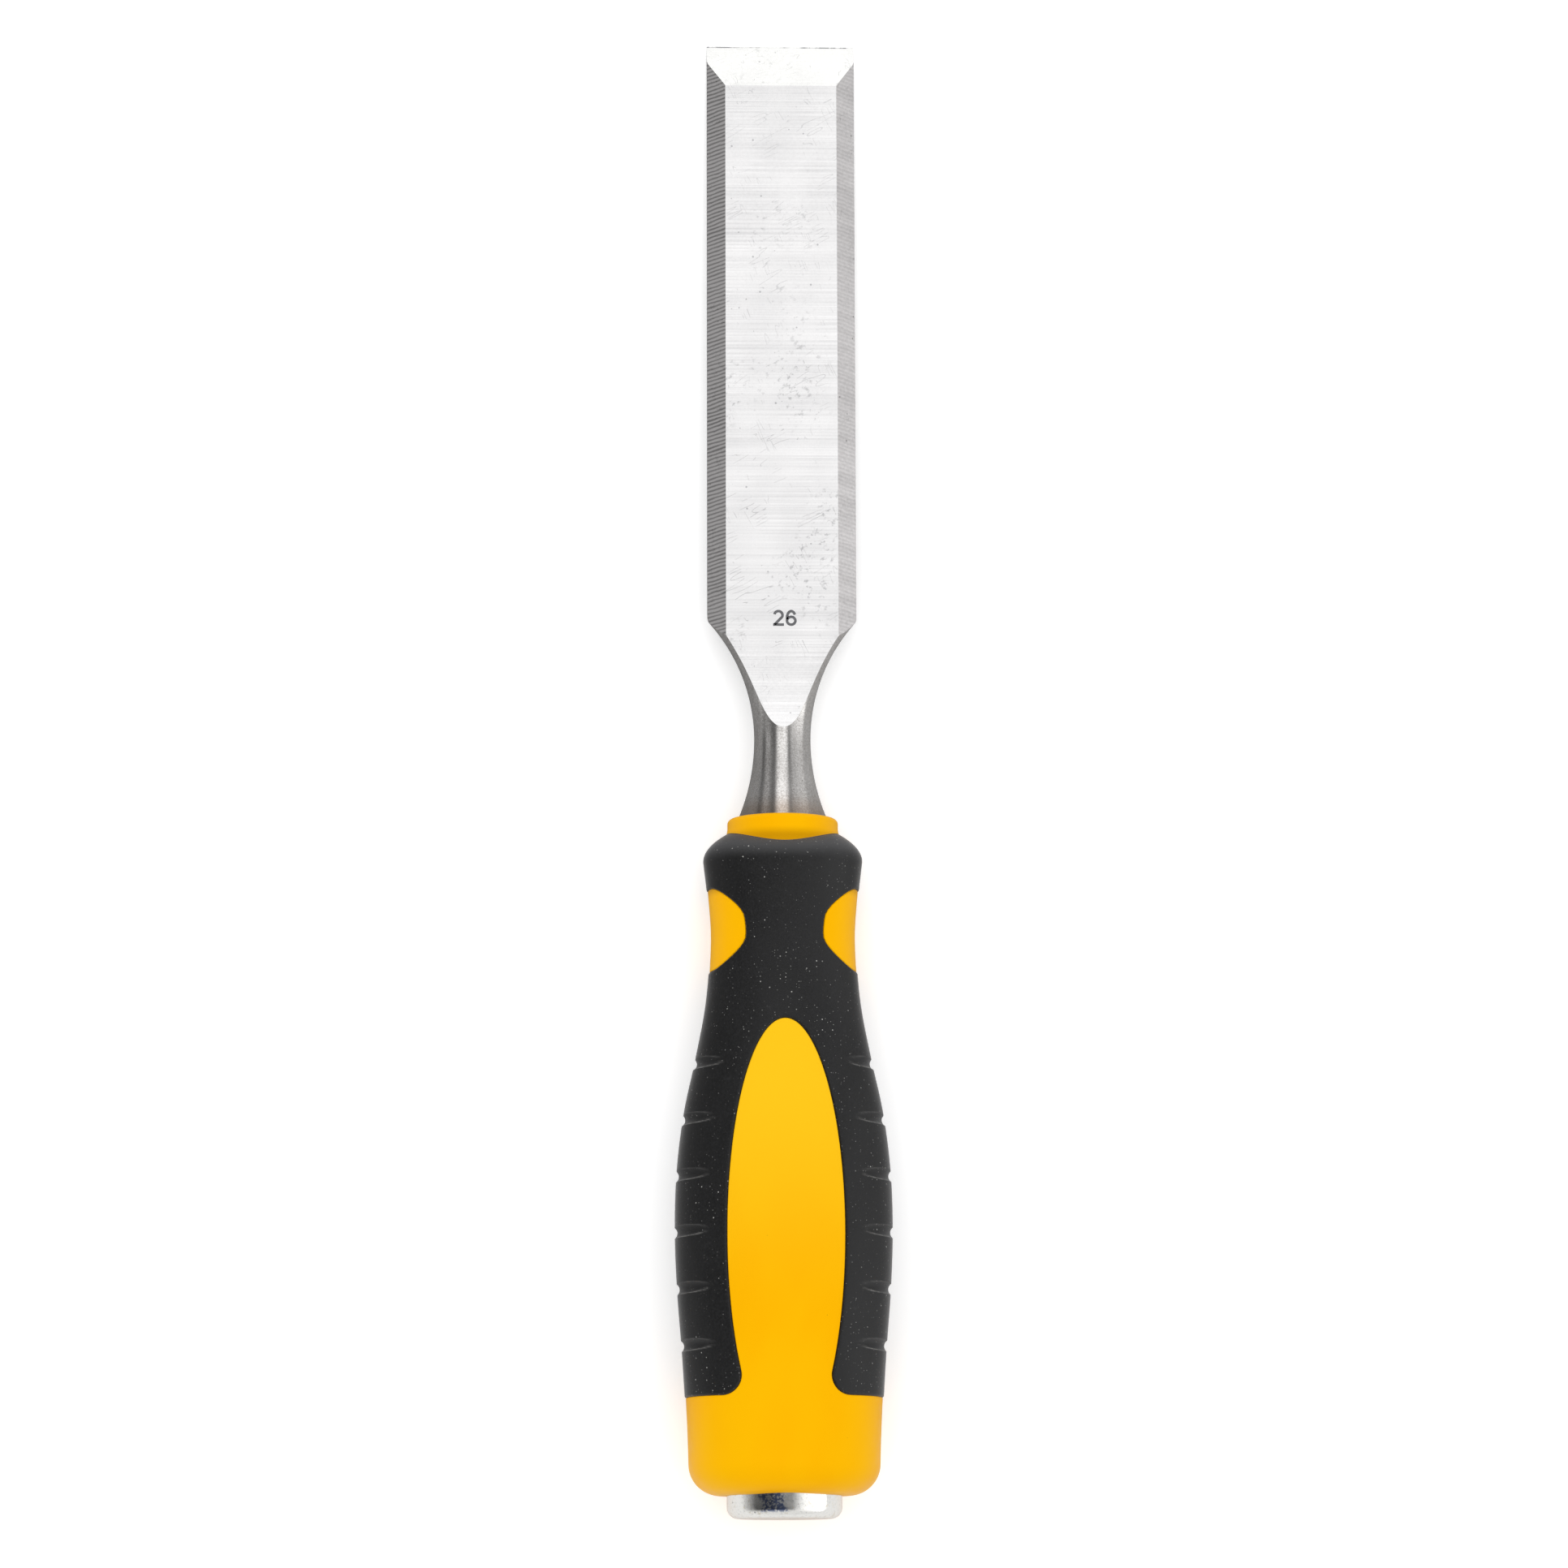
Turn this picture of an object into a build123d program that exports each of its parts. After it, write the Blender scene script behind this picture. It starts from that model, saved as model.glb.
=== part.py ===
"""Bench chisel: a 26 mm bevel-edge blade in a two-component handle with a steel strike cap.

Four pieces, as the real tool is made:
    blade        one forging: ground blade, neck, bolster and the tang inside the handle
    handle_core  hard plastic, moulded round the tang and round the strike cap's stem
    soft_grip    soft plastic, moulded over the core, with windows front, back and each side
    strike_cap   steel button that takes the mallet, with a ringed stem inside the core

Millimetres. The origin is the centre of the strike face. +Y runs along the tool's axis to the
cutting edge, +Z out of the bevelled face of the blade and +X to the right. The tool is the same
left and right. A station is a distance from the collar's front face, towards the strike cap.
"""

import math
import os

from build123d import *

# ---- whole tool ----
overall_length = 259.1
handle_length = 116.3  # collar's front face to the heel

# ---- blade: ground faces ----
blade_width = 26.0
back_depth = 1.9  # flat back, below the tool's axis
bevel_angle = 25.0  # cutting bevel, degrees
bevel_thickness = 3.75  # of the blade, where the cutting bevel starts
face_slope = 0.1  # the blade thickens towards the neck, degrees
side_bevel_width = 3.2
side_bevel_angle = 34.0
shoulder_radius = 1.5
runout_radius = 47.0  # of the grinding wheel, where it leaves the neck
runout_start = 3.1  # from the shoulder corner to the wheel's run-out

# ---- blade: forging ----
neck_radius = 4.9
neck_arc = 31.0  # plan radius from the neck out to the blade's shoulder
forging_depth = 5.0  # half depth of the oval that is ground into a blade
forging_margin = 4.0  # length of the oval that lies past the shoulder
forging_sections = 6
bolster_flare = 2.88  # from the neck out to the bolster
bolster_arc = 36.0  # radius of that flare
bolster_seat = 2.5  # depth of the bolster's rim inside the collar
tang_root = 8.0  # square, across flats
tang_tip = 5.2
tang_corner = 0.7
tang_point = 4.0  # length of the tapered point
tang_point_size = 1.6
tang_gap = 24.0  # plastic between the tang's point and the strike cap's stem

# ---- strike cap ----
cap_radius = 9.85
cap_stand_out = 3.9
cap_seat = 1.6  # depth of the head inside the heel
cap_edge_radius = 1.9
stem_radius = 4.0
stem_length = 20.0
stem_chamfer = 0.8
ring_count = 2
ring_pitch = 7.0
ring_width = 2.0
ring_depth = 0.8

# ---- handle ----
collar_wall = 1.8  # round the bolster
collar_height = 2.55  # at the sides; the oval front falls away further front and back
collar_edge = 0.7
fullness = 0.64  # of a section's corners: 0.55 is an ellipse, 1 a rectangle
# Sections of the handle's outside behind the domed front: (share of the handle's length,
# half width, half depth).
handle_sections = [
    (0.063, 13.8, 10.95),
    (0.119, 13.07, 10.35),
    (0.182, 12.65, 9.95),
    (0.272, 13.35, 10.5),
    (0.358, 15.18, 11.85),
    (0.437, 17.15, 13.2),
    (0.521, 18.37, 14.05),
    (0.611, 18.72, 14.45),
    (0.7, 18.33, 14.35),
    (0.795, 17.48, 14.15),
    (0.9, 16.78, 13.95),
    (1.0, 16.45, 13.8),
]
dome_steps = 4  # sections of the domed front
heel_radius = 5.2

# ---- soft grip ----
grip_thickness = 2.2
grip_proud = 0.18  # how far the grip stands above the core
heel_length = 16.6  # bare plastic behind the grip
window_start = 35.55  # station where the front and back windows begin
window_reach = 9.3  # how far the window's oval would run past the grip's end
window_half_width = 10.17
leg_radius = 3.3  # corners where a window opens into the heel
side_window_station = 19.6
side_window_length = 14.2  # along the tool
side_window_margin = 1.1  # from the window to the handle's front and back
side_window_corner = 5.6
notch_count = 6
notch_first = 42.55  # station
notch_last_margin = 8.7  # from the last notch to the grip's end
notch_depth = 0.44
notch_width = 2.9

# ---- places along the tool's axis ----
bolster_radius = neck_radius + bolster_flare
collar_radius = bolster_radius + collar_wall
edge_y = overall_length
heel_y = cap_stand_out
stem_end_y = heel_y + cap_seat + stem_length
collar_y = heel_y + handle_length
seat_y = collar_y - bolster_seat
waist_y = collar_y + math.sqrt(bolster_arc**2 - (bolster_arc - bolster_flare) ** 2)
neck_flare = math.sqrt(neck_arc**2 - (neck_arc - blade_width / 2 + neck_radius) ** 2)
shoulder_y = waist_y + neck_flare
runout_y = shoulder_y - runout_start
grip_end = handle_length - heel_length  # station
handle_reach = 2 * max(half_width for _, half_width, _ in handle_sections)


def at_station(station):
    """Y of a distance from the collar's front face."""
    return collar_y - station


def across(y):
    """Plane square to the tool's axis, with its own x along X and its own y along Z."""
    return Plane(origin=(0, y, 0), x_dir=(1, 0, 0), z_dir=(0, -1, 0))


def face_z(y):
    """Height of the blade's ground face."""
    bevel_length = bevel_thickness / math.tan(math.radians(bevel_angle))
    rise = math.tan(math.radians(face_slope))
    return bevel_thickness - back_depth + (edge_y - bevel_length - y) * rise


def size_at(station):
    """Half width and half depth of the handle, by a smooth cubic between its sections."""
    share = station / handle_length
    last = len(handle_sections) - 1
    i = max(k for k in range(last) if handle_sections[k][0] <= share)
    step = handle_sections[i + 1][0] - handle_sections[i][0]
    part = (share - handle_sections[i][0]) / step
    sizes = []
    for column in (1, 2):
        slopes = []
        for k in (i, i + 1):
            before, after = handle_sections[max(k - 1, 0)], handle_sections[min(k + 1, last)]
            slopes.append(step * (after[column] - before[column]) / (after[0] - before[0]))
        start, stop = handle_sections[i][column], handle_sections[i + 1][column]
        size = (1 + 2 * part) * (1 - part) ** 2 * start + part * (1 - part) ** 2 * slopes[0]
        size += part**2 * (3 - 2 * part) * stop - part**2 * (1 - part) * slopes[1]
        sizes.append(size)
    return sizes


def handle_form(inset):
    """The handle's outside shrunk by inset: a domed front whose ovals shrink as the square of
    the way to the collar, then the sections of the body."""
    share, half_width, half_depth = handle_sections[0]
    dome_station = share * handle_length
    sections = []
    for i in range(dome_steps, 0, -1):
        way = i / dome_steps
        station = dome_station - (dome_station - collar_height - inset) * way
        shrink = (half_width - collar_radius) * way**2
        sections.append((station, half_width - shrink, half_depth - shrink))
    sections += [(share * handle_length, *sizes) for share, *sizes in handle_sections]
    with BuildPart() as form:
        for station, half_width, half_depth in sections:
            a, b = half_width - inset, half_depth - inset
            quarters = [Vector(0, -b), Vector(a, 0), Vector(0, b), Vector(-a, 0), Vector(0, -b)]
            with BuildSketch(across(at_station(station))):
                with BuildLine():
                    for start, end in zip(quarters, quarters[1:]):
                        Bezier(start, start + end * fullness, end + start * fullness, end)
                make_face()
        loft()
    return form.part


# ---- blade ----
with BuildPart() as blade:
    # The forging: ovals that widen from the round neck to past the shoulder, then a bar.
    for i in range(forging_sections + 1):
        reach = (neck_flare + forging_margin) * i / forging_sections
        half_width = neck_radius + neck_arc - math.sqrt(neck_arc**2 - reach**2)
        half_depth = neck_radius + (forging_depth - neck_radius) * i / forging_sections
        with BuildSketch(across(waist_y + reach)):
            with BuildLine():
                EllipticalCenterArc((0, 0), half_width, half_depth, start_angle=-90, arc_size=360)
            make_face()
    loft()
    bar_y = shoulder_y + forging_margin / 2
    with BuildSketch():
        with Locations((0, bar_y)):
            Rectangle(2 * half_width, edge_y - bar_y, align=(Align.CENTER, Align.MIN))
    extrude(amount=forging_depth, both=True)

    # Its sides ground to width, with a rounded corner at each shoulder.
    with BuildSketch():
        with Locations((0, waist_y)):
            Rectangle(blade_width, edge_y - waist_y, align=(Align.CENTER, Align.MIN))
    extrude(amount=2 * neck_radius, both=True, mode=Mode.INTERSECT)
    sides = blade.faces().filter_by(Axis.X)
    fillet(sides.edges().filter_by(GeomType.BSPLINE), shoulder_radius)

    # Face and back ground flat, each with the wheel's run-out on the neck.
    slope = math.radians(face_slope)
    wheel_y = runout_y - runout_radius * math.sin(slope)
    wheel_z = face_z(runout_y) + runout_radius * math.cos(slope)
    with BuildSketch(Plane.YZ):
        with BuildLine():
            RadiusArc((wheel_y - runout_radius, wheel_z), (runout_y, face_z(runout_y)), -runout_radius)
            Polyline(
                (runout_y, face_z(runout_y)),
                (edge_y, face_z(edge_y)),
                (edge_y, wheel_z),
                (wheel_y - runout_radius, wheel_z),
            )
        make_face()
    extrude(amount=blade_width, both=True, mode=Mode.SUBTRACT)
    wheel_z = -back_depth - runout_radius
    with BuildSketch(Plane.YZ):
        with BuildLine():
            RadiusArc((runout_y - runout_radius, wheel_z), (runout_y, -back_depth), runout_radius)
            Polyline(
                (runout_y, -back_depth),
                (edge_y, -back_depth),
                (edge_y, wheel_z),
                (runout_y - runout_radius, wheel_z),
            )
        make_face()
    extrude(amount=blade_width, both=True, mode=Mode.SUBTRACT)

    # Side bevels, parallel to the face, that die out on the forging behind the shoulders.
    along_face = Plane(
        origin=(0, edge_y, face_z(edge_y)), x_dir=(1, 0, 0), z_dir=(0, -math.cos(slope), math.sin(slope))
    )
    for side in (1, -1):
        with BuildSketch(along_face):
            with Locations((side * (blade_width / 2 - side_bevel_width), 0)):
                Rectangle(
                    blade_width,
                    blade_width,
                    rotation=-side * side_bevel_angle,
                    align=(Align.CENTER, Align.MIN),
                )
        extrude(amount=edge_y - waist_y, mode=Mode.SUBTRACT)

    # Cutting bevel.
    with BuildSketch(Plane.YZ):
        with Locations((edge_y, -back_depth)):
            Rectangle(
                blade_width, blade_width, rotation=-bevel_angle, align=(Align.MAX, Align.MIN)
            )
    extrude(amount=blade_width, both=True, mode=Mode.SUBTRACT)

    # Bolster: a flare from the neck, and a rim that seats in the collar.
    with BuildSketch():
        with BuildLine():
            RadiusArc((neck_radius, waist_y), (bolster_radius, collar_y), -bolster_arc)
            Polyline(
                (bolster_radius, collar_y),
                (bolster_radius, seat_y),
                (0, seat_y),
                (0, waist_y),
                (neck_radius, waist_y),
            )
        make_face()
    revolve(axis=Axis.Y)

    # Tang: a square taper, then its point.
    point_y = stem_end_y + tang_gap
    with BuildSketch(across(seat_y)):
        RectangleRounded(tang_root, tang_root, tang_corner)
    with BuildSketch(across(point_y + tang_point)):
        RectangleRounded(tang_tip, tang_tip, tang_corner)
    loft()
    with BuildSketch(across(point_y + tang_point)):
        RectangleRounded(tang_tip, tang_tip, tang_corner)
    with BuildSketch(across(point_y)):
        RectangleRounded(tang_point_size, tang_point_size, tang_corner)
    loft()
blade.part.label = "blade"

# ---- strike cap ----
with BuildPart() as strike_cap:
    with BuildSketch(across(heel_y + cap_seat)):
        Circle(cap_radius)
    extrude(amount=cap_stand_out + cap_seat)
    fillet(strike_cap.edges().group_by(Axis.Y)[0], cap_edge_radius)
    with BuildSketch(across(stem_end_y)):
        Circle(stem_radius)
    extrude(amount=stem_length)
    chamfer(strike_cap.edges().group_by(Axis.Y)[-1], stem_chamfer)
    for ring in range(ring_count):
        with BuildSketch(across(stem_end_y - ring_pitch * (ring + 0.5))):
            Circle(stem_radius + ring_depth)
            Circle(stem_radius - ring_depth, mode=Mode.SUBTRACT)
        extrude(amount=ring_width, mode=Mode.SUBTRACT)
strike_cap.part.label = "strike_cap"

# ---- soft grip ----
grip_outside = handle_form(0)
grip_inside = handle_form(grip_thickness)
with BuildPart() as grip_blank:
    add(grip_outside)
    add(grip_inside, mode=Mode.SUBTRACT)
    with BuildSketch(across(collar_y)):
        Circle(collar_radius)
    extrude(amount=collar_height + 2 * grip_thickness, mode=Mode.SUBTRACT)

    # Front and back windows: one oval that opens into the bare heel between rounded legs.
    half_length = (grip_end + window_reach - window_start) / 2
    with BuildSketch() as window:
        with Locations((0, at_station(window_start + half_length))):
            Ellipse(window_half_width, half_length)
        with Locations((0, at_station(grip_end))):
            Rectangle(2 * handle_reach, 2 * heel_length, align=(Align.CENTER, Align.MAX))
        leg_corners = window.vertices().group_by(Axis.Y)[1]
        fillet(
            leg_corners.filter_by_position(Axis.X, -window_half_width, window_half_width), leg_radius
        )
    extrude(amount=handle_reach, both=True, mode=Mode.SUBTRACT)

    # Side windows: a rounded opening through both sides, short of the handle's front and back.
    side_window_depth = 2 * (size_at(side_window_station)[1] - side_window_margin)
    with BuildSketch(Plane.YZ):
        with Locations((at_station(side_window_station), 0)):
            RectangleRounded(side_window_length, side_window_depth, side_window_corner)
    extrude(amount=handle_reach, both=True, mode=Mode.SUBTRACT)

with BuildPart() as soft_grip:
    add(grip_blank.part)

    # Finger notches down both sides. Each is cut by half a ring, deepest at the side, that
    # leaves the section where its corner is fullest.
    corner_share = (4 + 3 * fullness) / 8
    notch_pitch = (grip_end - notch_last_margin - notch_first) / (notch_count - 1)
    for notch in range(notch_count):
        station = notch_first + notch * notch_pitch
        half_width, half_depth = size_at(station)
        floor_x = half_width - notch_depth
        fade_x, fade_z = corner_share * half_width, corner_share * half_depth
        floor_radius = (fade_z**2 + (floor_x - fade_x) ** 2) / (2 * (floor_x - fade_x))
        tube_radius = (notch_width**2 / 4 + notch_depth**2) / (2 * notch_depth)
        for side in (1, -1):
            ring_plane = Plane(
                origin=(side * (floor_x - floor_radius), at_station(station), 0),
                x_dir=(0, 0, side),
                z_dir=(0, 1, 0),
            )
            with Locations(ring_plane):
                Torus(
                    floor_radius + tube_radius,
                    tube_radius,
                    major_angle=180,
                    align=Align.NONE,
                    mode=Mode.SUBTRACT,
                )
soft_grip.part.label = "soft_grip"

# ---- handle core ----
core_outside = handle_form(grip_proud)
with BuildPart() as handle_core:
    add(core_outside)
    fillet(handle_core.faces().sort_by(Axis.Y)[0].edges(), heel_radius)
    with BuildSketch(across(collar_y)):
        Circle(collar_radius)
    extrude(amount=collar_height + 2 * grip_thickness)
    chamfer(handle_core.edges().group_by(Axis.Y)[-1], collar_edge)
    for piece in (grip_blank.part, blade.part, strike_cap.part):
        add(piece, mode=Mode.SUBTRACT)
handle_core.part.label = "handle_core"

# ---- files ----
os.makedirs("parts", exist_ok=True)
for piece in (blade.part, handle_core.part, soft_grip.part, strike_cap.part):
    export_step(piece, f"parts/{piece.label}.step")
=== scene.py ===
"""Looks of a 26 mm bench chisel: ground and forged blade, two-component handle, plated strike cap.

Shapes are worked out in millimetres, in the tool's own frame: the origin is the centre of the
strike face, +Y runs to the cutting edge, +Z out of the bevelled face. A station is a distance
from the collar's front face, towards the strike cap. A way is a share of the quarter round the
handle, from the middle of its front (0) to its right side (1).
"""

import math

import bmesh
import bpy
import numpy as np
from mathutils import Matrix, Vector


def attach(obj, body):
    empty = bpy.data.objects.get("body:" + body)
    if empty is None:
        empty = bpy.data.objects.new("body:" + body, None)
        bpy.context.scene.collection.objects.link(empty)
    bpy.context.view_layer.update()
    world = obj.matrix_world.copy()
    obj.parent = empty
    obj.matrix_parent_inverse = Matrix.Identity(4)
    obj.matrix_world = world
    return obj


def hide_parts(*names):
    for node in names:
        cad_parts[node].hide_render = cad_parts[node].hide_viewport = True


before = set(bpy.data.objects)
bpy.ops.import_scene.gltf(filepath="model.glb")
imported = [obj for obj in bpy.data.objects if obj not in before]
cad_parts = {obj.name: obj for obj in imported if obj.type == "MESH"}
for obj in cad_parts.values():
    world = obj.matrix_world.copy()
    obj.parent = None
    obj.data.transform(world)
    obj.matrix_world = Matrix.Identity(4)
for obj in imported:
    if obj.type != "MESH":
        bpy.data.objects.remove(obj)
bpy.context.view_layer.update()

MM = 0.001

# ---------------------------------------------------------------- the tool's sizes

# In mm and degrees. They are the solids' own, but for the notches, which are narrower here, and
# the small roundings, gaps and marks that only these surfaces have.
overall_length, handle_length = 259.1, 116.3
cap_stand_out, cap_seat, cap_radius, cap_edge_radius = 3.9, 1.6, 9.85, 1.9
stem_radius, stem_length, stem_chamfer = 4.0, 20.0, 0.8
ring_count, ring_pitch, ring_width, ring_depth = 2, 7.0, 2.0, 0.8

blade_width = 26.0
back_depth = 1.9
bevel_angle, bevel_thickness = 25.0, 3.75
face_slope = 0.1  # the face thins this much towards the bevel
side_bevel_width, side_bevel_angle = 3.2, 34.0
shoulder_blend = 0.45  # stands for the shoulder's 1.5 mm corner
runout_radius, runout_start = 47.0, 3.1  # of the wheel, and how far before the shoulder
neck_radius, neck_arc = 4.9, 31.0
forging_depth, forging_margin = 5.0, 4.0
bolster_flare, bolster_arc, bolster_seat = 2.88, 36.0, 2.5
tang_root, tang_tip, tang_point, tang_point_size, tang_gap = 8.0, 5.2, 4.0, 1.6, 24.0

collar_radius, collar_height, collar_round = 9.58, 2.55, 0.8
collar_rim, foot_height = collar_radius + 0.2, 1.1  # of its foot, which spreads to the grip
mouth_spread, mouth_depth = 0.2, 0.15  # of the chamfer round the bolster's pocket
fullness = 0.64  # length of a section's Bezier handles, as a share of its half sides
# The handle's sections: share of its length, half width and half depth.
sections = np.array([
    (0.063, 13.8, 10.95), (0.119, 13.07, 10.35), (0.182, 12.65, 9.95), (0.272, 13.35, 10.5),
    (0.358, 15.18, 11.85), (0.437, 17.15, 13.2), (0.521, 18.37, 14.05), (0.611, 18.72, 14.45),
    (0.7, 18.33, 14.35), (0.795, 17.48, 14.15), (0.9, 16.78, 13.95), (1.0, 16.45, 13.8),
])
heel_radius = 5.2
grip_thickness, grip_proud = 2.2, 0.18
grip_edge, core_edge = 0.34, 0.2  # rounding of the two plastics where they meet
part_line = 0.05  # gap between the two plastics
metal_gap, seat_gap = 0.06, 0.02  # hidden gaps round the metal inside the core
skin_gap = 0.03  # hidden gap under the grip
mark_left, mark_right, mark_bottom, mark_top = -1.64, 2.5, 154.06, 156.91
mark_stroke, mark_space = 0.47, 0.3
mark_stand = 0.006  # of the etched number above the face
inside_cad = 0.015  # keeps the smooth handle within the CAD handle's facets
# The windows in the grip, by station: the front one's oval runs window_reach past the grip's
# end, between legs with rounded ends, and heel_bare of the heel has no grip.
window_start, window_half_width, window_reach = 35.55, 10.17, 9.3
leg_radius, heel_bare = 3.3, 16.6
side_station, side_length, side_margin, side_corner = 19.6, 14.2, 1.1, 5.6
notch_count, notch_first, notch_last_margin = 6, 42.55, 8.7
notch_depth, notch_width, notch_soft, notch_half_row = 0.46, 1.9, 0.06, 1.3
notch_fade = 0.46  # way round the quarter, from the front, where a notch has faded out

# Where finishes change. A pair holds the y where a change starts and the y where it is full.
burr_width, lacquer_reach, blue_left = 0.3, 4.5, 2.3
# The first pair on the next line is for the painted shade on the collar's foot.
collar_shade_from, paler_from, paler_until = (106, 108), (30, 78), (92, 84)
# The first pair on the next line is for the painted highlight on the rubber's dome.
dome_highlight_from, blue_from = (112, 115.5), (0.7, 1.3)

edge_y = overall_length
heel_y = cap_stand_out
collar_y = heel_y + handle_length
seat_y = collar_y - bolster_seat
stem_end = heel_y + cap_seat + stem_length
bolster_radius = neck_radius + bolster_flare
waist_y = collar_y + math.sqrt(bolster_arc**2 - (bolster_arc - bolster_flare) ** 2)
neck_flare = math.sqrt(neck_arc**2 - (neck_arc - blade_width / 2 + neck_radius) ** 2)
shoulder_y = waist_y + neck_flare
runout_y = shoulder_y - runout_start
bevel_y = edge_y - bevel_thickness / math.tan(math.radians(bevel_angle))
grip_end = handle_length - heel_bare
notch_pitch = (grip_end - notch_last_margin - notch_first) / (notch_count - 1)
notch_stations = [notch_first + number * notch_pitch for number in range(notch_count)]
dome_station = sections[0, 0] * handle_length
window_mid = (window_start + grip_end + window_reach) / 2
window_half_length = window_mid - window_start
body_start = dome_station + 0.7  # behind it, every row of the handle lies square to the axis

# ---------------------------------------------------------------- meshes


def spread(start, stop, count, ends="both", power=2.2):
    """count steps from start to stop that shrink towards the named ends as a power of the way."""
    way = np.linspace(0, 1, count + 1)
    if ends == "both":
        way = np.where(way < 0.5, (2 * way) ** power / 2, 1 - (2 - 2 * way) ** power / 2)
    elif ends == "start":
        way = way**power
    elif ends == "stop":
        way = 1 - (1 - way) ** power
    return start + (stop - start) * way


def rows_of(*parts):
    """Joins lists of rows that share their end values."""
    return np.concatenate([parts[0], *[part[1:] for part in parts[1:]]])


def unit_of(vectors):
    """Vectors taken to a length of 1."""
    return vectors / np.linalg.norm(vectors, axis=-1, keepdims=True)


def halved(low, high, is_short, rounds=40):
    """The border between low and high by halving, where is_short tells if a value falls short."""
    for _ in range(rounds):
        middle = (low + high) / 2
        short = is_short(middle)
        low, high = np.where(short, middle, low), np.where(short, high, middle)
    return (low + high) / 2


def rings(directions, profile):
    """Rows of points round the axis: every column's direction in x and z, taken to a radius and
    a y, for each pair in a profile. Either may differ from column to column."""
    reach, rows = unit_of(directions), []
    for radius, y in profile:
        row = np.stack([radius * reach[:, 0], 0 * reach[:, 0] + y, radius * reach[:, 1]], axis=-1)
        rows.append(row)
    return np.stack(rows)


def square_reach(directions, half, power=7.0):
    """Radius of a rounded square in each column's direction: its half side over the root of the
    sum of the direction's two parts, each raised to the power."""
    return half / (np.abs(unit_of(directions)) ** power).sum(-1) ** (1 / power)


def numbered(*grids):
    """Point numbers of several grids, one after another."""
    start, numbers = 0, []
    for grid in grids:
        count = grid.shape[0] * grid.shape[1]
        numbers.append(np.arange(start, start + count).reshape(grid.shape[:2]))
        start += count
    return numbers


def cell_quads(index, keep=None, flip=False):
    """Quads of a grid of point numbers, which closes on itself across its columns. Each cell's
    corners go down a row, along and back up, so with rows towards the heel and columns round by
    the right the faces look outwards."""
    beside = np.roll(index, -1, axis=1)
    quads = np.stack([index[:-1], index[1:], beside[1:], beside[:-1]], axis=-1)
    quads = quads[keep] if keep is not None else quads.reshape(-1, 4)
    return quads[:, ::-1] if flip else quads


def step_walls(upper, lower, keep, ends=True):
    """Walls down from the kept cells of one grid to the same border on a lower grid. Without
    ends, the first and last rows have no wall."""
    rows, columns = keep.shape
    above = np.vstack([np.zeros((1, columns), bool) if ends else keep[:1], keep[:-1]])
    below = np.vstack([keep[1:], np.zeros((1, columns), bool) if ends else keep[-1:]])
    before, after = np.roll(keep, 1, axis=1), np.roll(keep, -1, axis=1)
    row, column = np.meshgrid(np.arange(rows), np.arange(columns), indexing="ij")
    right = (column + 1) % columns
    walls = []
    for border, start, stop in (
        (keep & ~below, (row + 1, right), (row + 1, column)),
        (keep & ~above, (row, column), (row, right)),
        (keep & ~after, (row, right), (row + 1, right)),
        (keep & ~before, (row + 1, column), (row, column)),
    ):
        wall = np.stack([upper[start], upper[stop], lower[stop], lower[start]], axis=-1)
        walls.append(wall[border])
    return np.concatenate(walls)


def make_piece(name, grids, faces, finishes, finish_of=None, sharp=32.0, wear_and_highlight=None):
    """One closed mesh from grids of points in mm and their quads. Points that coincide, as at a
    pole or where columns close up, are merged, and edges over the sharp angle stay crisp."""
    points = np.concatenate([grid.reshape(-1, 3) for grid in grids]) * MM
    mesh = bpy.data.meshes.new(name)
    mesh.vertices.add(len(points))
    mesh.vertices.foreach_set("co", points.ravel())
    mesh.loops.add(faces.size)
    mesh.loops.foreach_set("vertex_index", faces.ravel())
    mesh.polygons.add(len(faces))
    mesh.polygons.foreach_set("loop_start", np.arange(len(faces)) * 4)
    if finish_of is not None:
        mesh.polygons.foreach_set("material_index", finish_of)
    if wear_and_highlight is not None:
        mesh.attributes.new("wear_and_highlight", "FLOAT", "POINT").data.foreach_set("value", wear_and_highlight)
    mesh.update(calc_edges=True)
    work = bmesh.new()
    work.from_mesh(mesh)
    bmesh.ops.remove_doubles(work, verts=work.verts, dist=2e-7)
    loose = [vert for vert in work.verts if not vert.link_faces]
    bmesh.ops.delete(work, geom=loose, context="VERTS")
    work.to_mesh(mesh)
    work.free()
    mesh.polygons.foreach_set("use_smooth", np.ones(len(mesh.polygons), bool))
    mesh.set_sharp_from_angle(angle=math.radians(sharp))
    for finish in finishes:
        mesh.materials.append(finish)
    piece = bpy.data.objects.new(name, mesh)
    bpy.context.scene.collection.objects.link(piece)
    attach(piece, "root")
    return piece


# ---------------------------------------------------------------- materials


def colour(code):
    """Linear colour of an sRGB hex value."""
    parts = [int(code[i : i + 2], 16) / 255 for i in (1, 3, 5)]
    return tuple(
        [c / 12.92 if c <= 0.04045 else ((c + 0.055) / 1.055) ** 2.4 for c in parts] + [1.0]
    )


# The setting that the second word of a node's kind makes.
mode_names = {
    "Math": "operation", "VectorMath": "operation", "MapRange": "interpolation_type",
    "Mix": "data_type",
}


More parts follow.
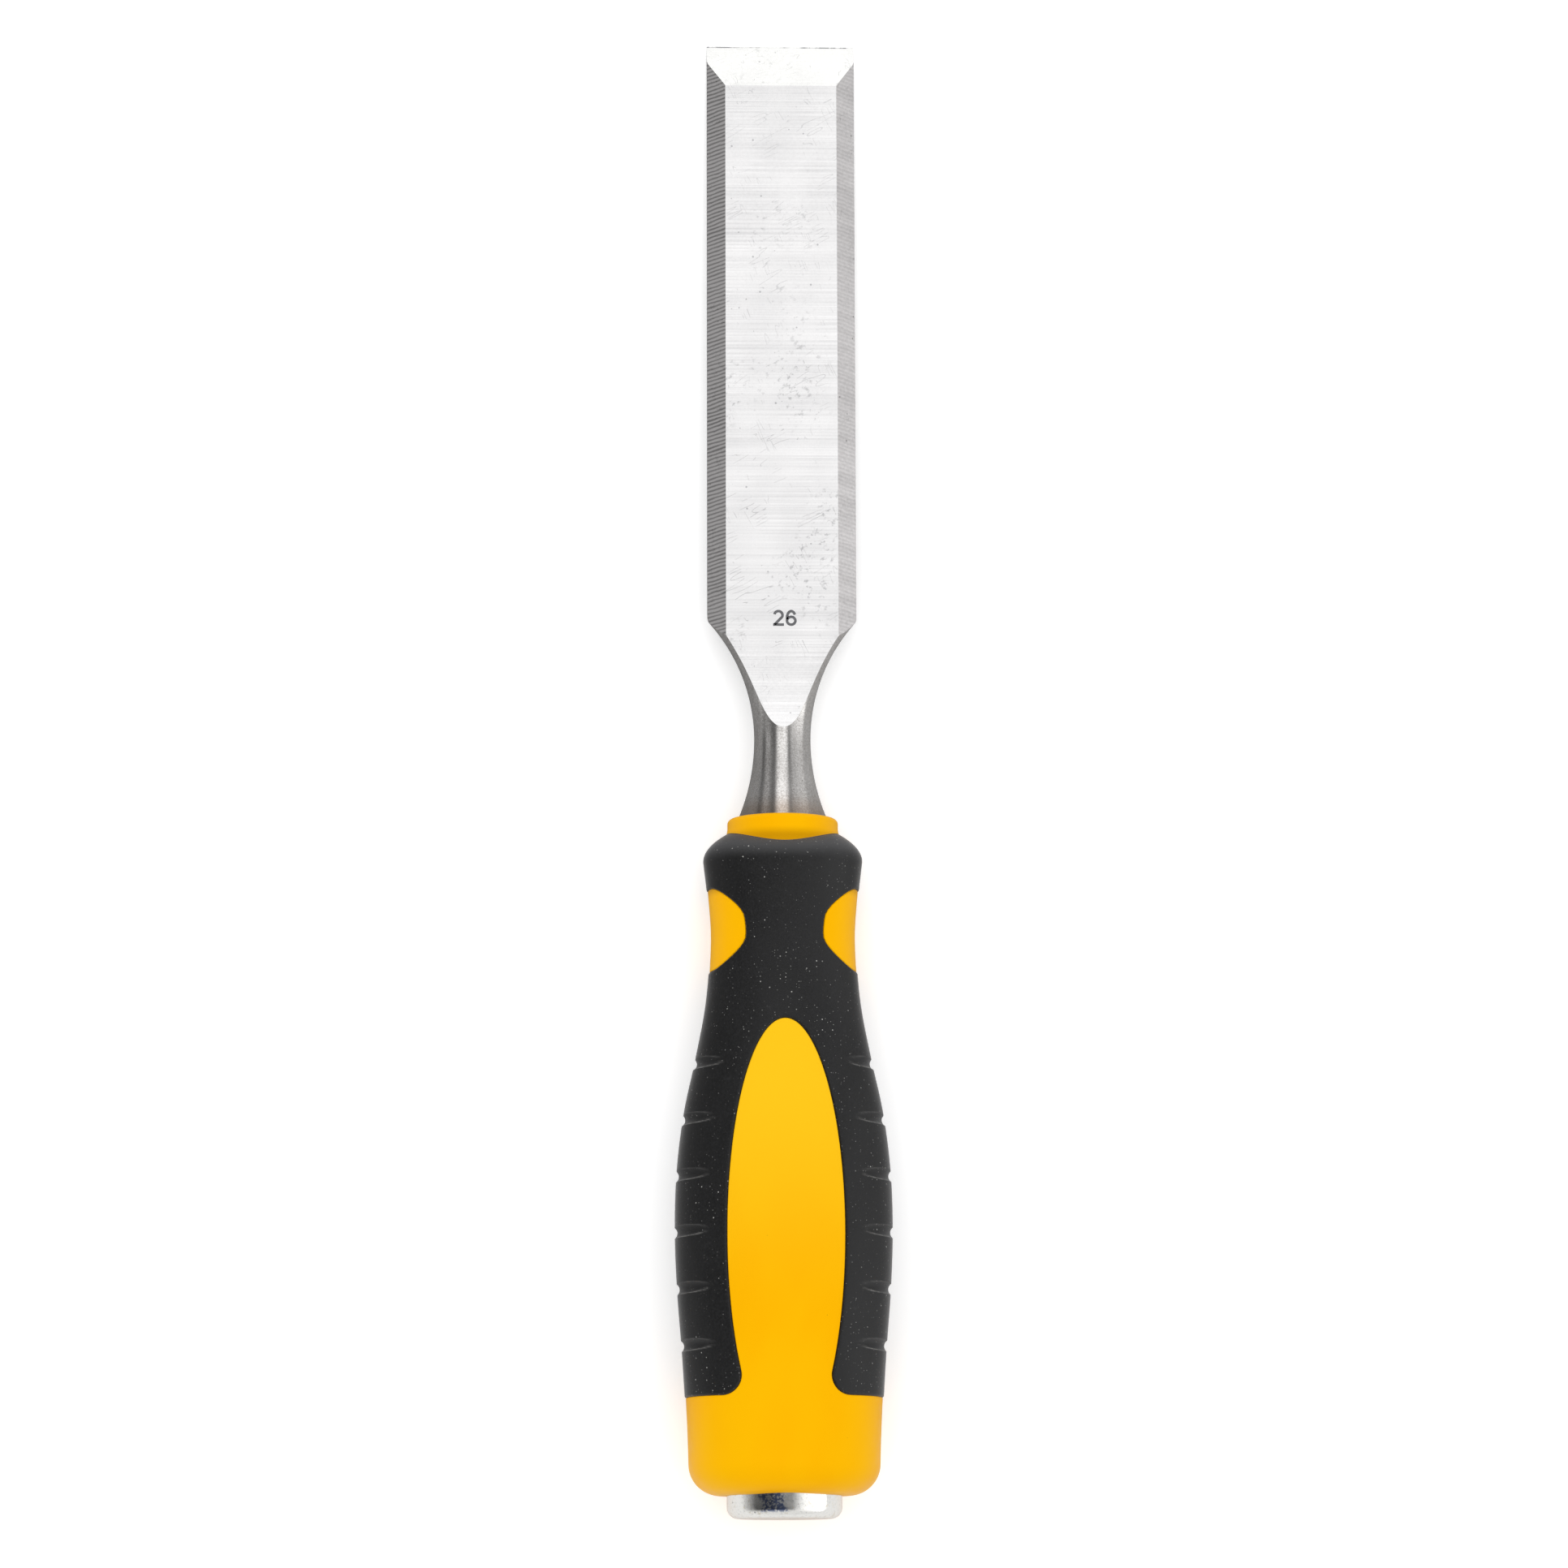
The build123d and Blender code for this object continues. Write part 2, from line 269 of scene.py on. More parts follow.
def add(tree, kind, *values, **settings):
    """Adds a node with its settings, and links or sets its inputs. A second word in its kind is
    its mode, such as a Math node's operation. Values go to the inputs in use in order, or by
    name from one dict. A node among them stands for its first output in use."""
    kind, *mode = kind.split()
    made = tree.nodes.new("ShaderNode" + kind)
    settings.update((mode_names[kind], word) for word in mode)
    for name, setting in settings.items():
        setattr(made, name, setting)
    if values and isinstance(values[0], dict):
        pairs = [(made.inputs[name], value) for name, value in values[0].items()]
    else:
        pairs = zip([socket for socket in made.inputs if socket.enabled], values)
    for socket, value in pairs:
        if isinstance(value, bpy.types.Node):
            value = next(output for output in value.outputs if output.enabled)
        if isinstance(value, bpy.types.NodeSocket):
            tree.links.new(value, socket)
        else:
            socket.default_value = value
    return made


def new_material(name):
    """An empty material, its nodes, and the piece's own coordinates in mm."""
    material = bpy.data.materials.new(name)
    material.use_nodes = True
    tree = material.node_tree
    tree.nodes.clear()
    metres = add(tree, "TexCoord").outputs["Object"]
    return material, tree, add(tree, "VectorMath MULTIPLY", metres, (1000, 1000, 1000))


def sized(tree, place, sizes, turn=(0, 0, 0)):
    """Coordinates that count one for each size in mm, after a turn in degrees. Sizes are three
    along X, Y and Z, or one for all."""
    sizes = sizes if isinstance(sizes, tuple) else (sizes,) * 3
    turned_place = add(tree, "Mapping", {
        "Vector": place, "Rotation": tuple(math.radians(angle) for angle in turn)
    })
    return add(tree, "VectorMath MULTIPLY", turned_place, tuple(1 / size for size in sizes))


def blots(tree, place, sizes, detail=2.0, roughness=0.5, turn=(0, 0, 0)):
    """Soft noise from 0 to 1, about one blot to each size in mm."""
    return add(tree, "TexNoise", {
        "Vector": sized(tree, place, sizes, turn), "Scale": 1.0, "Detail": detail,
        "Roughness": roughness,
    })


def specks(tree, place, spacing, size, share):
    """Round specks of a size in mm, in a share of the cells of a spacing: 1 on a speck. Each has
    a radius of 0.35 to 0.7 of the size, and fades over a quarter of it."""
    cells = add(tree, "TexVoronoi", {
        "Vector": sized(tree, place, spacing), "Scale": 1.0, "Randomness": 1.0
    })
    chosen = add(tree, "SeparateColor", cells.outputs["Color"])
    present = add(tree, "MapRange SMOOTHSTEP", chosen.outputs[0], share, share - 0.02)
    width = add(tree, "MapRange SMOOTHSTEP", chosen.outputs[1], 0, 1,
                0.35 * size / spacing, 0.7 * size / spacing)
    inside = add(tree, "Math SUBTRACT", width, cells.outputs["Distance"])
    round_one = add(tree, "MapRange SMOOTHSTEP", inside, 0, 0.25 * size / spacing)
    return add(tree, "Math MULTIPLY", round_one, present)


def scratches(tree, place, length, width, turn, share):
    """Fine straight scratches of a length and width in mm: the thin lines where long stretched
    noise crosses its middle, kept in a share of a broad noise turned the other way."""
    lines = blots(tree, place, (width * 9, length, width * 9), 0.0, turn=(0, 0, turn))
    ridge = add(tree, "Math ABSOLUTE", add(tree, "Math SUBTRACT", lines, 0.5))
    thin = add(tree, "MapRange SMOOTHSTEP", ridge, 0.012, 0.0)
    patch = blots(tree, place, length / 2, 1.0, turn=(0, 0, turn + 40))
    kept = add(tree, "MapRange SMOOTHSTEP", patch, 1 - share, 1.03 - share)
    return add(tree, "Math MULTIPLY", thin, kept)


def layered(tree, tint, layers):
    """A tint with others laid over it one by one, each by its share."""
    for share, code in layers:
        tint = add(tree, "Mix RGBA", share, tint, colour(code))
    return tint


def finished(material, height, depth, inputs):
    """The material, with its shader and a bump of a depth in mm joined to its output."""
    tree = material.node_tree
    bump = add(tree, "Bump", {"Height": height, "Strength": 1.0, "Distance": depth * MM})
    shader = add(tree, "BsdfPrincipled", {"Normal": bump, **inputs})
    add(tree, "OutputMaterial", shader)
    return material


def straight_grooves(contrast):
    """Grooves straight across the blade: long noise 0.44 mm apart, in bands of uneven depth."""

    def grooves(tree, place):
        """Their tone, between plus and minus the contrast, and their depth."""
        fine = blots(tree, place, (90, 0.44, 90), 2.0, 0.6)
        band = blots(tree, place, (120, 3.1, 120))
        patch = blots(tree, place, (7, 11, 7))
        tone = add(tree, "Math MULTIPLY",
                   add(tree, "MapRange SMOOTHSTEP", fine, 0.3, 0.7, -contrast, contrast),
                   add(tree, "MapRange SMOOTHSTEP", patch, 0.35, 0.65, 0.35, 1.0))
        half = contrast / 2
        banded = add(tree, "MapRange SMOOTHSTEP", band, 0.3, 0.7, -half, half)
        return add(tree, "Math ADD", tone, banded), fine

    return grooves


def slanted_grooves(tree, place):
    """Grooves that rise towards the axis: a sine of Y plus a fifth of the distance from the axis,
    shaken a little by noise. They show more to the left."""
    pitch, slant = 0.7, 0.21
    parts = add(tree, "SeparateXYZ", place)
    x, y = parts.outputs[0], parts.outputs[1]
    rising = add(tree, "Math MULTIPLY_ADD", add(tree, "Math ABSOLUTE", x), slant, y)
    shake = add(tree, "Math MULTIPLY", blots(tree, place, (3, 1.6, 3)), 4.5)
    phase = add(tree, "Math MULTIPLY_ADD", rising, 2 * math.pi / pitch, shake)
    wave = add(tree, "Math SINE", phase)
    strength = add(tree, "MapRange SMOOTHSTEP", x, -4, 4, 0.42, 0.06)
    broad = blots(tree, place, (30, 2.4, 30), turn=(0, 0, 12))
    tone = add(tree, "Math ADD", add(tree, "Math MULTIPLY", wave, strength),
               add(tree, "MapRange SMOOTHSTEP", broad, 0.3, 0.7, -0.06, 0.06))
    return tone, add(tree, "Math MULTIPLY", wave, 0.6)


def ground_steel(name, grooves, tint, dark_tint, base_share, stains, roughness):
    """Steel off a grinding wheel: grooves side by side, clouds, a few stains and pits, some fine
    handling scratches, and a dark broken burr along the very edge."""
    material, tree, place = new_material(name)
    tone, depth = grooves(tree, place)
    cloud = blots(tree, place, (9, 14, 9), 3.0, turn=(0, 0, 20))
    mottle = blots(tree, place, 0.5, 2.0, 0.6)
    for change in (
        add(tree, "MapRange SMOOTHSTEP", cloud, 0.3, 0.7, -0.05, 0.05),
        add(tree, "MapRange SMOOTHSTEP", mottle, 0.25, 0.75, -0.06, 0.06),
    ):
        tone = add(tree, "Math ADD", tone, change)

    stain = blots(tree, place, (1.1, 0.9, 1.1), 4.0, 0.7, (0, 0, -35))
    stain_zone = blots(tree, place, (15, 21, 15), 1.0)
    stained = add(tree, "Math MULTIPLY",
                  add(tree, "MapRange SMOOTHSTEP", stain, 0.55, 0.67),
                  add(tree, "MapRange SMOOTHSTEP", stain_zone, 0.48, 0.66))
    pits = specks(tree, place, 1.25, 0.3, 0.2)
    marks = add(tree, "Math MAXIMUM", scratches(tree, place, 9, 0.1, 62, 0.4),
                scratches(tree, place, 6, 0.09, -24, 0.38))
    burr = add(tree, "MapRange SMOOTHSTEP", add(tree, "SeparateXYZ", place).outputs[1],
               edge_y - burr_width, edge_y - burr_width + 0.1)
    burr_zone = blots(tree, place, (5, 30, 30), 3.0)
    nicked = blots(tree, place, (0.8, 30, 30))
    for broken in (
        add(tree, "MapRange SMOOTHSTEP", burr_zone, 0.42, 0.58, 0.15, 1.2),
        add(tree, "MapRange SMOOTHSTEP", nicked, 0.35, 0.6, 0.3, 1.0),
    ):
        burr = add(tree, "Math MULTIPLY", burr, broken)
    dark = add(tree, "Math MULTIPLY", stained, stains)
    for mark in (
        add(tree, "Math MULTIPLY", pits, 0.55), add(tree, "Math MULTIPLY", marks, 0.35), burr
    ):
        dark = add(tree, "Math MAXIMUM", dark, mark)

    bare = add(tree, "Math SUBTRACT", base_share, tone)
    share = add(tree, "Math ADD", bare, dark, use_clamp=True)
    rough = add(tree, "MapRange SMOOTHSTEP", mottle, 0.2, 0.8, roughness, roughness + 0.05)
    sunk = add(tree, "Math MULTIPLY", add(tree, "Math MAXIMUM", pits, marks), -1.5)
    return finished(material, add(tree, "Math ADD", depth, sunk), 0.002, {
        "Base Color": layered(tree, colour(tint), [(share, dark_tint)]),
        "Metallic": 1.0,
        "Roughness": add(tree, "Math ADD", rough, add(tree, "Math MULTIPLY", stained, 0.1)),
    })


# Chrome-manganese steel, surface ground: bright, with faint grooves straight across the blade.
# The grooves are about 0.1 mm apart on the real one and are drawn 0.44 mm apart, so they show.
ground_face = ground_steel(
    "surface_ground_steel", straight_grooves(0.13), "#FDFCFC", "#A8A8AA", 0.21, 0.3, 0.17)
# The same steel off a coarser wheel, fed at a slant: grooves 0.7 mm apart.
ground_side = ground_steel(
    "slant_ground_steel", slanted_grooves, "#FCF9F9", "#6E6C6C", 0.2, 0.12, 0.2)
# The cutting bevel, honed finer: nearly white, with hairlines along the edge.
honed_bevel = ground_steel(
    "honed_steel", straight_grooves(0.03), "#F6F6F4", "#9C9C9E", 0.035, 0.5, 0.1)


def brushed_forging():
    """Forged steel brushed round the neck and lacquered: a soft satin with fine grains and dark
    pinholes, streaked a little along the neck. The lacquer gathers brown at the collar."""
    material, tree, place = new_material("brushed_forged_steel")
    grain = blots(tree, place, 0.3, 3.0, 0.7)
    streak = blots(tree, place, (0.7, 9, 0.7), 3.0, 0.6)
    hoop = blots(tree, place, (14, 0.4, 14))
    cloud = blots(tree, place, (3, 6, 3))
    holes = specks(tree, place, 0.8, 0.2, 0.3)
    tone = add(tree, "MapRange SMOOTHSTEP", grain, 0.3, 0.7, 0, 0.5)
    for pattern, strength in ((streak, 0.14), (cloud, 0.06)):
        change = add(tree, "MapRange SMOOTHSTEP", pattern, 0.3, 0.7, 0, strength)
        tone = add(tree, "Math ADD", tone, change)
    share = add(tree, "Math ADD", tone, add(tree, "Math MULTIPLY", holes, 0.5), use_clamp=True)
    lacquer = add(tree, "MapRange SMOOTHSTEP", add(tree, "SeparateXYZ", place).outputs[1],
                  collar_y + lacquer_reach, collar_y + 0.3, 0, 0.5)
    rough = add(tree, "Math ADD",
                add(tree, "MapRange SMOOTHSTEP", grain, 0.2, 0.8, 0.15, 0.23),
                add(tree, "MapRange SMOOTHSTEP", cloud, 0.3, 0.7, 0, 0.04))
    brushed = add(tree, "Math ADD", grain, hoop)
    height = add(tree, "Math ADD", brushed, add(tree, "Math MULTIPLY", holes, -1.5))
    return finished(material, height, 0.005, {
        "Base Color": layered(tree, colour("#FFFDFB"), [(share, "#9E9893"), (lacquer, "#9A7446")]),
        "Metallic": 1.0,
        "Roughness": rough,
    })


def moulded_polypropylene():
    """Yellow polypropylene, injection moulded: nearly even colour and a soft gloss with the faint
    orange-peel of the mould, a few scuffs and grit. It has painted shade on the collar's foot, next
    to the grip, and is paler towards the front of its window."""
    material, tree, place = new_material("moulded_polypropylene")
    peel = blots(tree, place, 1.6, 3.0)
    flow = blots(tree, place, (12, 30, 12), turn=(0, 0, 8))
    scuffs = scratches(tree, place, 12, 0.12, 30, 0.36)
    grit = specks(tree, place, 1.7, 0.16, 0.1)
    y = add(tree, "SeparateXYZ", place).outputs[1]
    # Painted shade on the collar's foot, where it meets the grip.
    foot_start, foot_full = collar_y - 2.1, collar_y - 4
    collar_shade = add(tree, "Math MULTIPLY",
               add(tree, "MapRange SMOOTHSTEP", y, foot_start, foot_full, 0, 0.6),
               add(tree, "MapRange SMOOTHSTEP", y, *collar_shade_from))
    # Paler towards the front of the window.
    paler_front = add(tree, "Math MULTIPLY",
                add(tree, "MapRange SMOOTHSTEP", y, *paler_from),
                add(tree, "MapRange SMOOTHSTEP", y, *paler_until))
    tint = layered(tree, colour("#FFBD02"), [
        (add(tree, "MapRange SMOOTHSTEP", flow, 0.3, 0.7), "#FEB600"),
        (collar_shade, "#A87306"),
        (paler_front, "#FFC81C"),
        (add(tree, "Math MULTIPLY", grit, 0.35), "#6A4A10"),
    ])
    scuffed = add(tree, "Math ADD", peel, add(tree, "Math MULTIPLY", scuffs, -0.6))
    return finished(material, scuffed, 0.006, {
        "Base Color": tint,
        "Roughness": add(tree, "Math ADD",
                         add(tree, "MapRange SMOOTHSTEP", peel, 0.3, 0.7, 0.34, 0.42),
                         add(tree, "Math MULTIPLY", scuffs, 0.15)),
        "IOR": 1.49,
        "Specular IOR Level": 0.13,
        "Specular Tint": colour("#FFCB5C"),
    })


def moulded_rubber():
    """Charcoal thermoplastic rubber from a fine-eroded mould: matt and grainy, with pale lines on
    the notches' edges that are wear and painted highlight, a painted highlight on the dome, and
    pale dust caught in the grain. The dust is drawn 0.2 mm across so that it shows."""
    material, tree, place = new_material("moulded_thermoplastic_rubber")
    grain = blots(tree, place, 0.35, 3.0, 0.65)
    cloud = blots(tree, place, (6, 11, 6), 3.0)
    rubbed = blots(tree, place, (1.6, 1.2, 1.6), 3.0, 0.7)
    drift = blots(tree, place, (7, 10, 7))
    lint = add(tree, "Math MULTIPLY", specks(tree, place, 0.9, 0.2, 0.4), 0.6)
    powder = add(tree, "Math MULTIPLY", specks(tree, place, 0.45, 0.15, 0.4), 0.28)
    dusty = add(tree, "Math MULTIPLY", add(tree, "Math MAXIMUM", lint, powder),
                add(tree, "MapRange SMOOTHSTEP", drift, 0.36, 0.64, 0.3, 1.05))
    # Pale lines on the notches' edges, from the grip's point attribute: wear and painted highlight.
    worn = add(tree, "Attribute", attribute_name="wear_and_highlight").outputs["Fac"]
    edge_wear_and_highlight = add(tree, "Math MULTIPLY", worn,
                    add(tree, "MapRange SMOOTHSTEP", rubbed, 0.3, 0.6, 0.15, 0.6))
    y = add(tree, "SeparateXYZ", place).outputs[1]
    tint = layered(tree, colour("#0A0A0B"), [
        (add(tree, "MapRange SMOOTHSTEP", cloud, 0.3, 0.7), "#111112"),
        (add(tree, "MapRange SMOOTHSTEP", rubbed, 0.6, 0.75, 0, 0.2), "#3C3C3E"),
        (add(tree, "MapRange SMOOTHSTEP", grain, 0.35, 0.75, 0, 0.3), "#303032"),
        (edge_wear_and_highlight, "#9C9A97"),
        # Painted highlight on the dome, towards the collar.
        (add(tree, "MapRange SMOOTHSTEP", y, *dome_highlight_from, 0, 0.4), "#6E6E70"),
        (dusty, "#DAD9D4"),
    ])
    return finished(material, add(tree, "Math ADD", grain, dusty), 0.012, {
        "Base Color": tint,
        "Roughness": add(tree, "MapRange SMOOTHSTEP", grain, 0.3, 0.7, 0.5, 0.62),
        "IOR": 1.5,
        "Sheen Weight": 0.34,
        "Sheen Roughness": 0.3,
    })


def bright_zinc():
    """Steel with bright zinc plating, passivated: silvery with straw blooms and a blue one on the
    cap's side, left of its middle, small crystals and dull rubbed spots."""
    material, tree, place = new_material("bright_zinc_plate")
    parts = add(tree, "SeparateXYZ", place)
    bloom = blots(tree, place, (2.5, 3, 2.5), turn=(0, 30, 0))
    film = blots(tree, place, 1.2, 3.0, 0.65)
    crystal = blots(tree, place, 0.4, 2.0, 0.6)
    spots = specks(tree, place, 0.9, 0.3, 0.35)
    aside = add(tree, "Math ABSOLUTE", add(tree, "Math ADD", parts.outputs[0], blue_left))
    ragged = add(tree, "Math MULTIPLY_ADD", bloom, 4.0, aside)
    bloomed = add(tree, "Math MULTIPLY",
                  add(tree, "MapRange SMOOTHSTEP", ragged, 4.3, 3.7),
                  add(tree, "MapRange SMOOTHSTEP", parts.outputs[1], *blue_from))
    blue = add(tree, "Math MULTIPLY", bloomed,
               add(tree, "MapRange SMOOTHSTEP", crystal, 0.4, 0.54, 0.15, 0.9))
    tint = layered(tree, colour("#F8F7F3"), [
        (add(tree, "MapRange SMOOTHSTEP", film, 0.56, 0.7, 0, 0.5), "#D9CCB0"),
        (add(tree, "MapRange SMOOTHSTEP", crystal, 0.5, 0.75, 0, 0.25), "#8B8E96"),
        (blue, "#5A6E9C"),
        (add(tree, "Math MULTIPLY", spots, 0.5), "#55575C"),
    ])
    height = add(tree, "Math ADD", film, add(tree, "Math MULTIPLY", crystal, 0.4))
    return finished(material, height, 0.012, {
        "Base Color": tint,
        "Metallic": 1.0,
        "Roughness": add(tree, "MapRange SMOOTHSTEP", film, 0.3, 0.7, 0.08, 0.2),
    })


def etched_mark():
    """Electrolytic etch: dull grey oxide in the steel's grooves."""
    material, tree, place = new_material("etched_steel")
    worn = blots(tree, place, (0.4, 0.25, 0.4))
    share = add(tree, "MapRange SMOOTHSTEP", worn, 0.3, 0.75)
    return finished(material, worn, 0.002, {
        "Base Color": layered(tree, colour("#616164"), [(share, "#7B7B7E")]),
        "Metallic": 0.3,
        "Roughness": 0.55,
    })


forged_neck = brushed_forging()
yellow_shell = moulded_polypropylene()
charcoal_grip = moulded_rubber()
zinc_plate = bright_zinc()
etched_grey = etched_mark()

# ---------------------------------------------------------------- the handle's surface

def side_reach(way):
    """Share of the half width reached at a way round the quarter: a cubic Bezier quarter whose
    handles are fullness long."""
    return way**3 + 3 * way**2 * (1 - way) + 3 * fullness * way * (1 - way) ** 2


quarter_way = np.linspace(0, 1, 2001)
quarter_reach = side_reach(quarter_way)


def handle_size(station):
    """Half width and half depth at each station, by smooth cubics between the sections, and by a
    shrink that grows as the square of the way to the collar over the domed front."""
    share = np.clip(station / handle_length, sections[0, 0], 1)
    low = np.clip(np.searchsorted(sections[:, 0], share, side="right") - 1, 0, len(sections) - 2)
    last = len(sections) - 1
    step = sections[low + 1, 0] - sections[low, 0]
    part = (share - sections[low, 0]) / step
    sizes = []
    for column in (1, 2):
        tilt = []
        for at in (low, low + 1):
            before, after = np.maximum(at - 1, 0), np.minimum(at + 1, last)
            rise = sections[after, column] - sections[before, column]
            tilt.append(step * rise / (sections[after, 0] - sections[before, 0]))
        size = (1 + 2 * part) * (1 - part) ** 2 * sections[low, column]
        size += part * (1 - part) ** 2 * tilt[0]
        size += part**2 * (3 - 2 * part) * sections[low + 1, column]
        size -= part**2 * (1 - part) * tilt[1]
        sizes.append(size)
    way = np.maximum(dome_station - station, 0) / (dome_station - collar_height)
    shrink = (sections[0, 1] - collar_radius) * way**2
    return sizes[0] - shrink - inside_cad, sizes[1] - shrink - inside_cad


def handle_point(way, station, inset=0.0):
    """Point of the handle's outside: half the width times the reach of the way, and half the
    depth times the reach of the rest of the way, both less an inset."""
    half_width, half_depth = handle_size(station)
    x, z = (half_width - inset) * side_reach(way), (half_depth - inset) * side_reach(1 - way)
    return np.stack([x, collar_y - station, z], axis=-1)


def handle_normal(way, station):
    """Outward normal of the handle's outside, from small steps round and along it."""
    small, short = 1e-3, 0.02
    along = handle_point(way, station + short) - handle_point(way, station - short)
    round_it = handle_point(np.minimum(way + small, 1), station)
    round_it = round_it - handle_point(np.maximum(way - small, 0), station)
    normal = np.cross(along, round_it)
    normal[..., 0] = np.where(way <= 0, 0, normal[..., 0])
    normal[..., 2] = np.where(way >= 1, 0, normal[..., 2])
    return unit_of(normal)


def way_at_x(x, station):
    """Way round the quarter at which the handle's outside has this x, read back from a table
    of reaches."""
    return np.interp(x / handle_size(station)[0], quarter_reach, quarter_way)


def way_at_z(z, station):
    """Way round the quarter at which the handle's outside has this z, read back likewise."""
    return 1 - np.interp(z / handle_size(station)[1], quarter_reach, quarter_way)


def rim_station(way):
    """Station where the domed front meets the collar's foot."""

    def inside(station):
        """Whether the dome there still lies inside the foot."""
        point = handle_point(way, station)
        return np.hypot(point[..., 0], point[..., 2]) < collar_rim

    return halved(np.full_like(way, collar_height - 1.0), np.full_like(way, dome_station), inside)


def window_edge(station, gap):
    """Half width of the front window: an ellipse up to where the leg's end touches it, then
    that end, a circle tangent to the ellipse on its outside."""
    angle = np.linspace(0, math.pi / 2, 2001)
    slant = np.hypot(np.cos(angle) / window_half_width, np.sin(angle) / window_half_length)
    out_x = np.cos(angle) / window_half_width / slant
    out_t = np.sin(angle) / window_half_length / slant
    on_x = window_half_width * np.cos(angle)
    on_t = window_mid + window_half_length * np.sin(angle)
    leg_t = grip_end - leg_radius
    leg_x = np.interp(leg_t, on_t + leg_radius * out_t, on_x + leg_radius * out_x)
    touch = np.interp(leg_t, on_t + leg_radius * out_t, on_t - gap * out_t)
    share = np.clip((station - window_mid) / (window_half_length - gap), -1, 1)
    oval = (window_half_width - gap) * np.sqrt(1 - share**2)
    round_end = leg_x - np.sqrt(np.maximum((leg_radius + gap) ** 2 - (station - leg_t) ** 2, 0))
    return np.where(station < touch, oval, np.minimum(round_end, leg_x))


def side_edge(station, gap):
    """Half depth of the side window: a rectangle whose corners are quarter circles, and which
    stops short of the handle's front and back."""
    half_depth = handle_size(np.array(side_station))[1] - side_margin
    past = np.maximum(np.abs(station - side_station) - side_length / 2 + side_corner, 0)
    inside = np.maximum((side_corner - gap) ** 2 - past**2, 0)
    return half_depth - side_corner + np.sqrt(inside)


def side_ends(gap):
    """Stations where the side window starts and stops, brought in by a gap."""
    return side_station - side_length / 2 + gap, side_station + side_length / 2 - gap


def grip_rows(gap):
    """Stations of the rows behind the dome, close together wherever an edge runs across."""
    side_start, side_stop = side_ends(gap)
    rows = [
        spread(body_start, side_start, 9, "stop"),
        spread(side_start, side_station, 14, "start"),
        spread(side_station, side_stop, 14, "stop"),
        spread(side_stop, window_start + gap, 14),
    ]
    before = window_start + gap
    for number, middle in enumerate(notch_stations):
        start, stop = middle - notch_half_row, middle + notch_half_row
        rows.append(np.linspace(before, start, 9) if number else spread(before, start, 18, "start"))
        rows.append(np.linspace(start, stop, 27))
        before = stop
    rows.append(spread(before, grip_end + gap, 22, "stop"))
    return rows_of(*rows)


# Cells of the quarter grid: rows over the dome, and columns of the window, leg and side.
dome_count = 16
window_columns, leg_columns, side_columns = 14, 24, 12
quarter_columns = window_columns + leg_columns + side_columns


def handle_grid(gap):
    """The quarter grid that both plastics share: ways and stations of its points, and which of
    its cells are windows. Columns follow the window edges, and those of the front window close
    up in front of it."""
    rows = grip_rows(gap)
    side_start, side_stop = side_ends(gap)
    tiny = 1e-6
    in_window = rows > window_start + gap + tiny
    front = np.where(in_window, way_at_x(window_edge(rows, gap), rows), 0)
    in_side = (rows >= side_start - tiny) & (rows <= side_stop + tiny)
    rest = way_at_z(side_edge(np.array(side_start), gap), np.array(side_start))
    side = np.where(in_side, way_at_z(side_edge(rows, gap), rows), rest)
    front, side = front[:, None], side[:, None]
    ways = np.concatenate([
        front * spread(0, 1, window_columns, "stop"),
        front + (side - front) * spread(0, 1, leg_columns)[1:],
        side + (1 - side) * spread(0, 1, side_columns, "start")[1:],
    ], axis=1)
    stations = np.repeat(rows[:, None], ways.shape[1], axis=1)
    dome_ways = np.repeat(ways[:1], dome_count, axis=0)
    rim = rim_station(ways[0])
    drop = spread(0, 1, dome_count, "start", 1.8)[:-1, None]
    dome_stations = rim + (body_start - rim) * drop
    ways = np.vstack([dome_ways, ways])
    stations = np.vstack([dome_stations, stations])
    middle = np.concatenate([np.zeros(dome_count), (rows[1:] + rows[:-1]) / 2])[:, None]
    column = np.arange(quarter_columns)
    in_side = (middle > side_start) & (middle < side_stop)
    windows = (column < window_columns) & (middle > window_start + gap)
    windows |= (column >= window_columns + leg_columns) & in_side
    return ways, stations, windows


def border_lines(gap):
    """Lines along which the two plastics meet, as runs of points on the quarter."""
    along = spread(window_start + gap, grip_end + gap, 260)
    lines = [handle_point(way_at_x(window_edge(along, gap), along), along)]
    last = np.array(grip_end + gap)
    reach = side_length / 2 - gap
    along = side_station + reach * np.sin(np.linspace(-math.pi / 2, math.pi / 2, 120))
    edge = way_at_z(side_edge(along, gap), along)
    lines.append(handle_point(edge, along))
    for start, station, count in (
        (float(way_at_x(window_edge(last, gap), last)), last, 80),
        (edge[0], side_station - reach, 30),
        (edge[0], side_station + reach, 30),
    ):
        across = np.linspace(start, 1, count)
        lines.append(handle_point(across, np.full_like(across, station)))
    return lines


def distance_to(points, lines):
    """Least distance from each point to any run of straight pieces, worked out in blocks."""
    starts = np.concatenate([line[:-1] for line in lines])
    steps = np.concatenate([line[1:] - line[:-1] for line in lines])
    lengths = np.maximum((steps**2).sum(-1), 1e-12)
    flat = points.reshape(-1, 3)
    nearest = np.empty(len(flat))
    block = 2000
    for at in range(0, len(flat), block):
        away = flat[at : at + block, None] - starts
        along = np.clip((away * steps).sum(-1) / lengths, 0, 1)
        left = away - along[..., None] * steps
        nearest[at : at + block] = np.sqrt((left**2).sum(-1).min(1))
    return nearest.reshape(points.shape[:-1])


def edge_roll(distance, radius):
    """Depth of a quarter-round edge at a distance in from the border: the radius less the
    circle's height there."""
    inside = np.clip(radius - distance, 0, radius)
    return radius - np.sqrt(radius**2 - inside**2)


